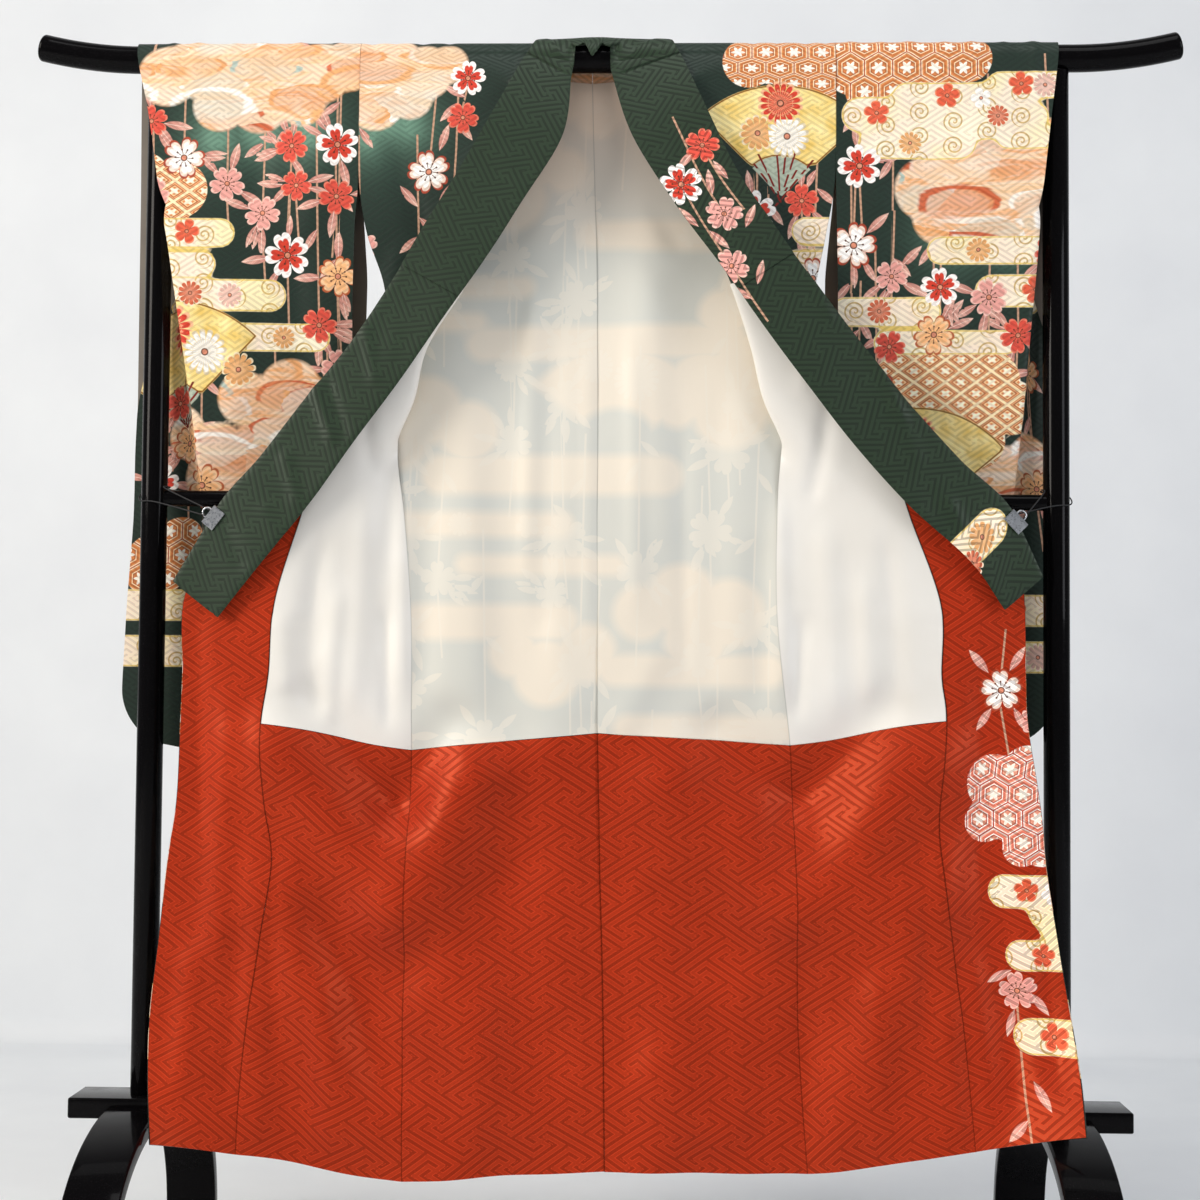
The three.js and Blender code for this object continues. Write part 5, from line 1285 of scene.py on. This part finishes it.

# ---- Sleeves ------------------------------------------------------------------------------
# One width folded over the bar for each long sleeve, its lower part hanging behind post and rail. The
# silk is painted on both faces of the sleeve and lined in silk that shows at its edges, coloured grey-brown
# as painted shade.
sleeve_tables = {
    "right": (784, [
        [1828, 369, -23.2, 640, -23.2, 708, -23.2, 0], [1745, 369, -27, 640, -28, 688, -30, 0],
        [1680, 368.6, -27.8, 640, -31, 677, -34, 0], [1620, 369, -28, 650, -34, 668, -37, 0],
        [1580, 373, -28, 661, -37, 648, -26, 1], [1540, 374, -27, 653, -37, 643, -2, 1],
        [1500, 375, -25, 647, -35, 641, 24, 1], [1450, 376, -21, 640, -30, 664, 33, 1],
        [1400, 376, -16, 633, -25, 692, 37, 1], [1304, 376, -4, 620, -10, 714, 41.4, 1],
        [1230, 376, 8, 614, 6, 717, 43.4, 1], [1185, 376, 15, 609, 15, 717, 44.4, 1],
        [1130, 376, 17, 605, 18, 718, 45.4, 1], [1000, 376, 23, 600, 24, 726, 45.4, 1],
        [874, 376, 34, 600, 34, 731, 45.4, 1], [784, 376, 45.4, 600, 45.4, 731, 45.4, 1]],
        [[1828, 369, 23.2, 712, 23.2], [1745, 369, 24, 712, 26], [1620, 368.6, 19, 712, 31], [1500, 361, 30, 713, 36],
         [1304, 366, 42, 714, 43], [1130, 372, 46, 718, 47], [874, 372, 47, 731, 47], [784, 372, 47, 731, 47]]),
    "left": (796, [
        [1828, 345, -23.2, 630, -23.2, 676, -23.2, 0], [1745, 345, -27, 630, -28, 665, -30, 0],
        [1680, 344.6, -27.8, 630, -31, 657, -34, 0], [1620, 345, -28, 638, -34, 650, -37, 0],
        [1580, 346, -28, 646, -37, 640, -26, 1], [1540, 347, -27, 643, -37, 638, -2, 1],
        [1500, 348, -25, 640, -35, 638, 24, 1], [1450, 349, -21, 636, -30, 654, 33, 1],
        [1400, 349, -16, 632, -25, 672, 37, 1], [1304, 349, -4, 626, -10, 684, 41.4, 1],
        [1230, 349, 8, 620, 6, 686, 43.4, 1], [1185, 349, 15, 616, 15, 686, 44.4, 1],
        [1130, 349, 17, 612, 18, 686, 45.4, 1], [1000, 349, 23, 606, 24, 686, 45.4, 1],
        [874, 349, 34, 600, 34, 686, 45.4, 1], [784, 349, 45.4, 600, 45.4, 686, 45.4, 1]],
        [[1828, 345, 23.2, 680, 23.2], [1745, 345, 24, 680, 26], [1620, 344.6, 19, 681, 31], [1500, 333, 30, 682, 36],
         [1304, 338, 42, 684, 43], [1130, 343, 46, 686, 47], [874, 343, 47, 686, 47], [784, 343, 47, 686, 47]])}
fold_share, sleeve_corner = 0.6, 90


def at_height(table, z, blur=16):
    """Every column of a table keyed by height, at height z: straight between rows, then averaged over
    a few heights about z so that the rows leave no corners."""
    rows = np.array(table, float)[::-1]
    offsets = np.linspace(-blur, blur, 5)
    return [np.mean([np.interp(z + d, rows[:, 0], column) for d in offsets], 0) for column in rows.T[1:]]


def sleeve_form(side, a, b):
    """Sleeve, a 0 at the body, fold_share at the fold, 1 at the outer edge; b 0 to 1 up the front, to 2
    over the bar, to 3 down the back. Beyond its fold the front layer is a parabola from fold to edge,
    bending straight on above and round behind the post below. Its lower outer corner is a quarter circle."""
    sign = SIGN[side]
    bottom, front_table, back_table = sleeve_tables[side]
    z = np.where(b <= 1, bottom + (bar_height - bottom) * np.minimum(b, 1),
                 np.where(b < 2, bar_height, bar_height - (bar_height - bottom) * (b - 2)))
    inner, inner_y, fold, fold_y, outer, outer_y, turn = at_height(front_table, z)
    t = a / fold_share
    flat = np.stack([inner + 0.4 + (fold - inner - 0.4) * t, inner_y + (fold_y - inner_y) * t], -1)
    t = np.clip((a - fold_share) / (1 - fold_share), 0, 1)
    bend, bend_y = (fold + outer) / 2 * (1 - turn) + fold * turn, (fold_y + outer_y) / 2 * (1 - turn) + (outer_y - 1) * turn
    w = [(1 - t) ** 2, 2 * (1 - t) * t, t * t]
    beyond = np.stack([w[0] * fold + w[1] * bend + w[2] * outer, w[0] * fold_y + w[1] * bend_y + w[2] * outer_y], -1)
    front = np.where((a <= fold_share)[..., None], flat, beyond)
    b_inner, b_inner_y, b_outer, b_outer_y = at_height(back_table, z)
    back = np.stack([b_inner + 0.4 + (b_outer - b_inner - 0.4) * a, b_inner_y + (b_outer_y - b_inner_y) * a], -1)
    share = np.clip(b - 1, 0, 1)[..., None]
    out = (front * (1 - share) + back * share)[..., 0]
    depth = np.where(b <= 1, front[..., 1], back[..., 1])
    rise = np.clip((z - bottom) / sleeve_corner, 0, 1)
    inset = sleeve_corner * (1 - np.sqrt(np.maximum(1 - (1 - rise) ** 2, 0)))
    out = out * (1 - inset / np.where(b <= 1, outer, b_outer))
    y_bar, z_bar = over_bar(-np.pi / 2 + np.pi * share[..., 0])
    on_bar = (b > 1) & (b < 2)
    return np.stack([sign * out, np.where(on_bar, y_bar, depth), np.where(on_bar, z_bar, z)], -1)


# The lining's grey-brown is painted shade: a pale lining in the shadow inside the sleeve.
sleeve_lining_in_painted_shade = Finish("sleeve lining in painted shade", roughness=0.6, sheen_weight=0.2, sheen_roughness=0.5)
place = uv_map(sleeve_lining_in_painted_shade, "cloth")
shade = sleeve_lining_in_painted_shade.noise(place, 12.0, 3.0)
sleeve_lining_in_painted_shade.to("Base Color", sleeve_lining_in_painted_shade.ramp(shade, [(0.3, colour("6f675e")), (0.7, colour("80776c"))]))
sleeve_designs = {
    "right": blossom_layout(
        3, (392, 1180, 690, 1790), 19,
        keep_off=[(560, 1775, 110), (450, 1790, 70), (640, 1540, 70), (600, 1500, 70), (610, 1400, 90),
                  (470, 1300, 80), (560, 1240, 60)],
        clouds=[(660, 1795, 46), (610, 1812, 52), (550, 1800, 56), (490, 1808, 50), (430, 1800, 48), (385, 1812, 40),
                (580, 1750, 40),
                (520, 1752, 44), (455, 1754, 36), (470, 1320, 48), (430, 1290, 50), (500, 1280, 46), (540, 1310,
                                            40), (400, 1250, 44),
                (460, 1235, 46), (520, 1225, 50), (580, 1230, 44), (640, 1260, 40), (600, 1195, 46), (420, 1190, 50)],
        bands=[(575, 1555, 690, 1555, 22), (600, 1508, 690, 1508, 19), (500, 1462, 690, 1462, 24),
               (430, 1400, 560, 1400, 21),
               (560, 1000, 740, 1000, 24), (620, 930, 740, 930, 24)],
        diamonds=[(640, 1620, 44), (668, 1580, 40), (690, 1640, 36), (655, 1590, 34)],
        shells=[(690, 1060, 50), (650, 1090, 44)],
        fans=[(650, 1270, 62, 185, 0.55, 2.35)],
        stems=[(650, 1270, 650 + 66 * math.cos(a), 1270 + 66 * math.sin(a), 1) for a in np.linspace(0.65, 2.25, 9)],
        flowers=[(600, 1378, 34, 0.7, "white mum"), (655, 1412, 40, 0.2, "red mum"),
                 (548, 1352, 26, 0.4, "gold mum"), (620, 1465, 20, 0.4, "rust mum"),
                 (560, 1462, 20, 0.1, "pale mum"), (625, 1557, 20, 0.6, "plum"), (480, 1400, 18, 0.2, "gold mum"),
                 (625, 1000, 21, 0.3, "plum"), (690, 930, 21, 0.8, "pale mum")],
        glow=[(520, 1712, 16), (450, 1708, 14), (585, 1700, 12)]),
    "left": blossom_layout(
        9, (368, 1180, 670, 1790), 17,
        keep_off=[(420, 1790, 90), (520, 1770, 70), (560, 1610, 120), (450, 1590, 80), (560, 1290, 110),
                  (630, 1740, 60)],
        clouds=[(650, 1690, 40), (560, 1688, 44), (610, 1700, 40), (640, 1640, 52), (590, 1656, 54), (530, 1640, 54),
                (480, 1622, 48), (560, 1594, 54), (620, 1590, 50), (500, 1580, 42),
                (650, 1220, 46), (600, 1200, 44), (560, 1180, 44)],
        shells=[(375, 1815, 52), (430, 1822, 44), (490, 1812, 46), (540, 1822, 38), (395, 1770, 36)],
        bands=[(480, 1722, 570, 1722, 26), (380, 1735, 470, 1735, 27), (400, 1690, 530, 1690, 23),
               (450, 1762, 620, 1762, 22), (590, 1780, 690, 1780, 21), (540, 1732, 640, 1732, 20), (600, 1700, 690,
                                            1700, 18), (500, 1530, 690, 1530, 21),
               (575, 1470, 690, 1470, 24), (360, 1440, 480, 1440, 22), (420, 1395, 600, 1395, 18),
               (560, 1000, 700, 1000, 24), (620, 930, 700, 930, 24)],
        diamonds=[(450, 1335, 48), (510, 1350, 52), (570, 1335, 52), (540, 1290, 54), (480, 1290, 46),
                  (610, 1300, 40), (560, 1250, 40)],
        fans=[(470, 1130, 70, 170, 0.7, 2.3)],
        stems=[(470, 1130, 470 + 72 * math.cos(a), 1130 + 72 * math.sin(a), 1) for a in np.linspace(0.8, 2.2, 8)],
        flowers=[(405, 1737, 20, 0.4, "plum"), (455, 1692, 19, 0.9, "gold mum"), (510, 1764, 20, 0.2, "plum"),
                 (560, 1760, 18, 0.6, "pale plum"), (620, 1782, 20, 0.4, "plum"), (655, 1780, 20, 0.2,
                                            "pale mum"), (585, 1733, 18, 0.1, "rust mum"),
                 (640, 1472, 21, 0.6, "plum"), (555, 1531, 20, 0.4, "gold mum"), (410, 1441, 20, 0.3, "rust mum"),
                 (470, 1262, 27, 0.3, "red mum"), (625, 1000, 21, 0.3, "plum"), (660, 930, 21, 0.8, "pale mum")],
        glow=[(520, 1555, 14), (600, 1552, 12)])}
back_layer = 1000
for design, seed in ((sleeve_designs["right"], 71), (sleeve_designs["left"], 72)):
    behind = blossom_layout(seed, (1400, 850, 1690, 1780), 30, clouds=[(1450, 1700, 60), (1520, 1720, 56),
                                            (1580, 1690, 52), (1500, 1660, 50),
                            (1560, 1150, 60), (1490, 1130, 56), (1620, 1120, 50)],
                            bands=[(1380, 1520, 1560, 1520, 24), (1480, 1460, 1700, 1460, 22),
                                   (1500, 980, 1720, 980, 25), (1400, 920, 1600, 920, 22)],
                            shells=[(1600, 1560, 56), (1650, 1600, 46), (1420, 1330, 56), (1470, 1360, 48)],
                            diamonds=[(1640, 1300, 56), (1600, 1340, 48), (1420, 1050, 52)], fans=[(1540, 1200, 60, 160, 0.6, 2.4)])
    for key, rows in behind.items():
        design[key] = [*design.get(key, ()), *rows]
sleeve_creases = {
    "right": [(-420, 1780, -440, 1520, 4, 24), (-500, 1800, -530, 1560, -4, 22), (-590, 1790, -600, 1600, 3, 20),
              (-470, 1560, -455, 1320, -5, 24), (-540, 1500, -560, 1260, 5, 24), (-410, 1420, -400, 1220, 4, 18),
              (-600, 1480, -585, 1290, -4, 16), (-650, 1200, -660, 860, 2, 30)],
    "left": [(400, 1790, 410, 1560, 4, 22), (470, 1800, 500, 1580, -4, 22), (560, 1790, 575, 1600, 3, 20),
             (430, 1540, 450, 1300, -5, 24), (520, 1500, 505, 1270, 5, 24), (385, 1420, 392, 1230, 4, 16),
             (590, 1480, 580, 1290, -4, 16)]}
for side, sign in SIGN.items():
    surface = creased(lambda a, b, side=side: sleeve_form(side, a, b), sign, sleeve_creases[side], 0.8, 51 + sign,
                      lambda a, b: ease((0.97 - b) / 0.12) * ease((b - 0.32) / 0.12) * ease((fold_share - 0.05
                                            - a) / 0.15) * (b < 1),
                      puckers=bar_puckers)
    a_steps = np.concatenate([np.linspace(0, fold_share, 38), np.linspace(fold_share, 1, 22)[1:]])
    b_steps = np.concatenate([np.linspace(0, 1, 170), np.linspace(1, 2, 16)[1:-1], np.linspace(2, 3, 150)])

    def sleeve_plan(a, b, across, side=side):
        """Out from the middle along the cloth, and height; the back layer lies further out."""
        p = sleeve_form(side, a, b)
        return np.stack([abs(p[:, :1, 0]) + across + back_layer * (b > 1.6), p[..., 2]], -1)

    cloth(f"long sleeve {side}", surface, a_steps, b_steps, sign, silk_wall, 0, outer_silk,
          inner=sleeve_lining_in_painted_shade, plan=sleeve_plan, design=sleeve_designs[side],
          node=f"sleeve_{side}")

# ---- Clips --------------------------------------------------------------------------------
# A sprung steel clip bites each collar edge and is tied by a thin black elastic round post and rail.
clip_steel = Finish("clip steel", base_color=colour("c3c6ca"), metallic=1.0, roughness=0.3)
scratches = clip_steel.noise(clip_steel.add("TexCoord", out=3), 300.0, 3.0)
clip_steel.to("Roughness", clip_steel.ramp(scratches, [(0.3, 0.22), (0.7, 0.4)]))
elastic = Finish("black elastic", roughness=0.7)
ribs = elastic.noise(elastic.add("TexCoord", out=3), 900.0, 2.0)
elastic.to("Base Color", elastic.ramp(ribs, [(0.35, colour("0d0d0e")), (0.7, colour("232426"))]))
clip_wide, clip_grip, clip_wall, clip_slot, clip_seat, cord_radius = 31, 15, 1.2, 10.2, 3.1, 1.0


def tube(name, line, radius, material, closed=False, around=12):
    """A round section carried along a line of points, kept square to the line and untwisted; closed
    lines join on themselves, open ones are capped."""
    line = np.asarray(line, float)
    ahead_of = np.gradient(line, axis=0)
    if closed:
        ahead_of = np.roll(line, -1, 0) - np.roll(line, 1, 0)
    ahead_of /= np.linalg.norm(ahead_of, axis=1, keepdims=True)
    guide = np.array((0, 0, 1.0)) if not closed else np.cross(ahead_of[0], ahead_of[len(line) // 4])
    across_it = np.cross(ahead_of, guide)
    across_it /= np.maximum(np.linalg.norm(across_it, axis=1, keepdims=True), 1e-6)
    up_it = np.cross(across_it, ahead_of)
    a = circle(around)[None, :, None]
    rings = line[:, None] + radius * (np.cos(a) * across_it[:, None] + np.sin(a) * up_it[:, None])
    if not closed:
        return loft(name, rings, material)
    k = np.arange(rings.shape[0] * around).reshape(-1, around)
    nxt = np.roll(k, -1, 0)
    faces = np.stack([k, nxt, np.roll(nxt, -1, 1), np.roll(k, -1, 1)], -1).reshape(-1, 4)
    return loose_object(name, rings.reshape(-1, 3), faces, material)


def through(points, steps):
    """Even steps along the Catmull-Rom curve through the points."""
    points = np.asarray(points, float)
    return np.stack([spline(points[:, k], np.linspace(0, len(points) - 1, steps)) for k in range(3)], -1)


for side, sign in SIGN.items():
    seat_outer, seat_inner = (edge[0] for edge in collar_edges(side, np.array([9.05])))
    ahead_outer = collar_edges(side, np.array([8.9]))[0][0]
    outward = (seat_outer - seat_inner) / np.linalg.norm(seat_outer - seat_inner)
    depth_way = np.cross(ahead_outer - seat_outer, outward)
    depth_way *= -np.sign(depth_way[1]) / np.linalg.norm(depth_way)
    strip_way = np.cross(outward, depth_way)
    seat = seat_outer - depth_way * clip_seat
    half = clip_slot / 2
    profile = np.array([(-clip_grip, half), (1.5, half + 1.6), (2.7, 0), (1.5, -half - 1.6), (-clip_grip, -half),
                        (-clip_grip, -half - clip_wall), (1.8, -half - 2.8), (7, -half + 1), (7, half - 1),
                        (1.8, half + 2.8), (-clip_grip, half + clip_wall)])
    profile = np.array([np.interp(np.linspace(0, len(profile), 66, endpoint=False), np.arange(len(profile) + 1),
                                  np.append(profile[:, k], profile[0, k])) for k in range(2)]).T
    places = np.array([-0.5, -0.485, -0.2, 0.2, 0.485, 0.5]) * clip_wide
    shrink_of = np.array([0.35, 0, 0, 0, 0, 0.35])
    rings = np.stack([seat + place_of * strip_way + (p[:, :1] * outward + p[:, 1:] * depth_way)
                      for place_of, p in ((a, profile * (1 - 0.02 * b)) for a, b in zip(places, shrink_of))])
    jaws = loft(f"clip jaws {side}", rings, clip_steel.material)
    away = post_radius + cord_radius + 1.2
    low_z, high_z, px = seat[2] + 24, rail_height + rail_radius + 5, sign * post_x
    tails = [seat + outward * 9 + strip_way * offset for offset in (-5, 5)]
    loop = [tails[0], (px - sign * 10, -away - 6, low_z), (px + sign * away * 0.75, -away * 0.75, low_z + 3),
            (px + sign * away * 1.05, 3, (low_z + high_z) / 2), (px + sign * away * 0.7, away * 0.75, high_z - 2),
            (px, away * 1.04, high_z), (px - sign * away * 0.75, away * 0.75, high_z),
            (px - sign * away * 1.08, 0, high_z), (px - sign * away, -away * 0.9, high_z - 4), tails[1]]
    cord = tube(f"clip elastic {side}", through(loop, 140), cord_radius, elastic.material)
    ring_middle = seat + outward * 11 - depth_way * 1.5
    turn_round = circle(32)[:, None]
    ring = tube(f"clip ring {side}", ring_middle + 7.0 * (np.cos(turn_round) * outward
                                            + np.sin(turn_round) * strip_way),
                1.3, clip_steel.material, closed=True)
    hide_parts(f"clip_{side}")
    for piece in (jaws, cord, ring):
        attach(piece, "root")
        hard = piece.modifiers.new("crisp edges", "EDGE_SPLIT")
        hard.split_angle = math.radians(40)
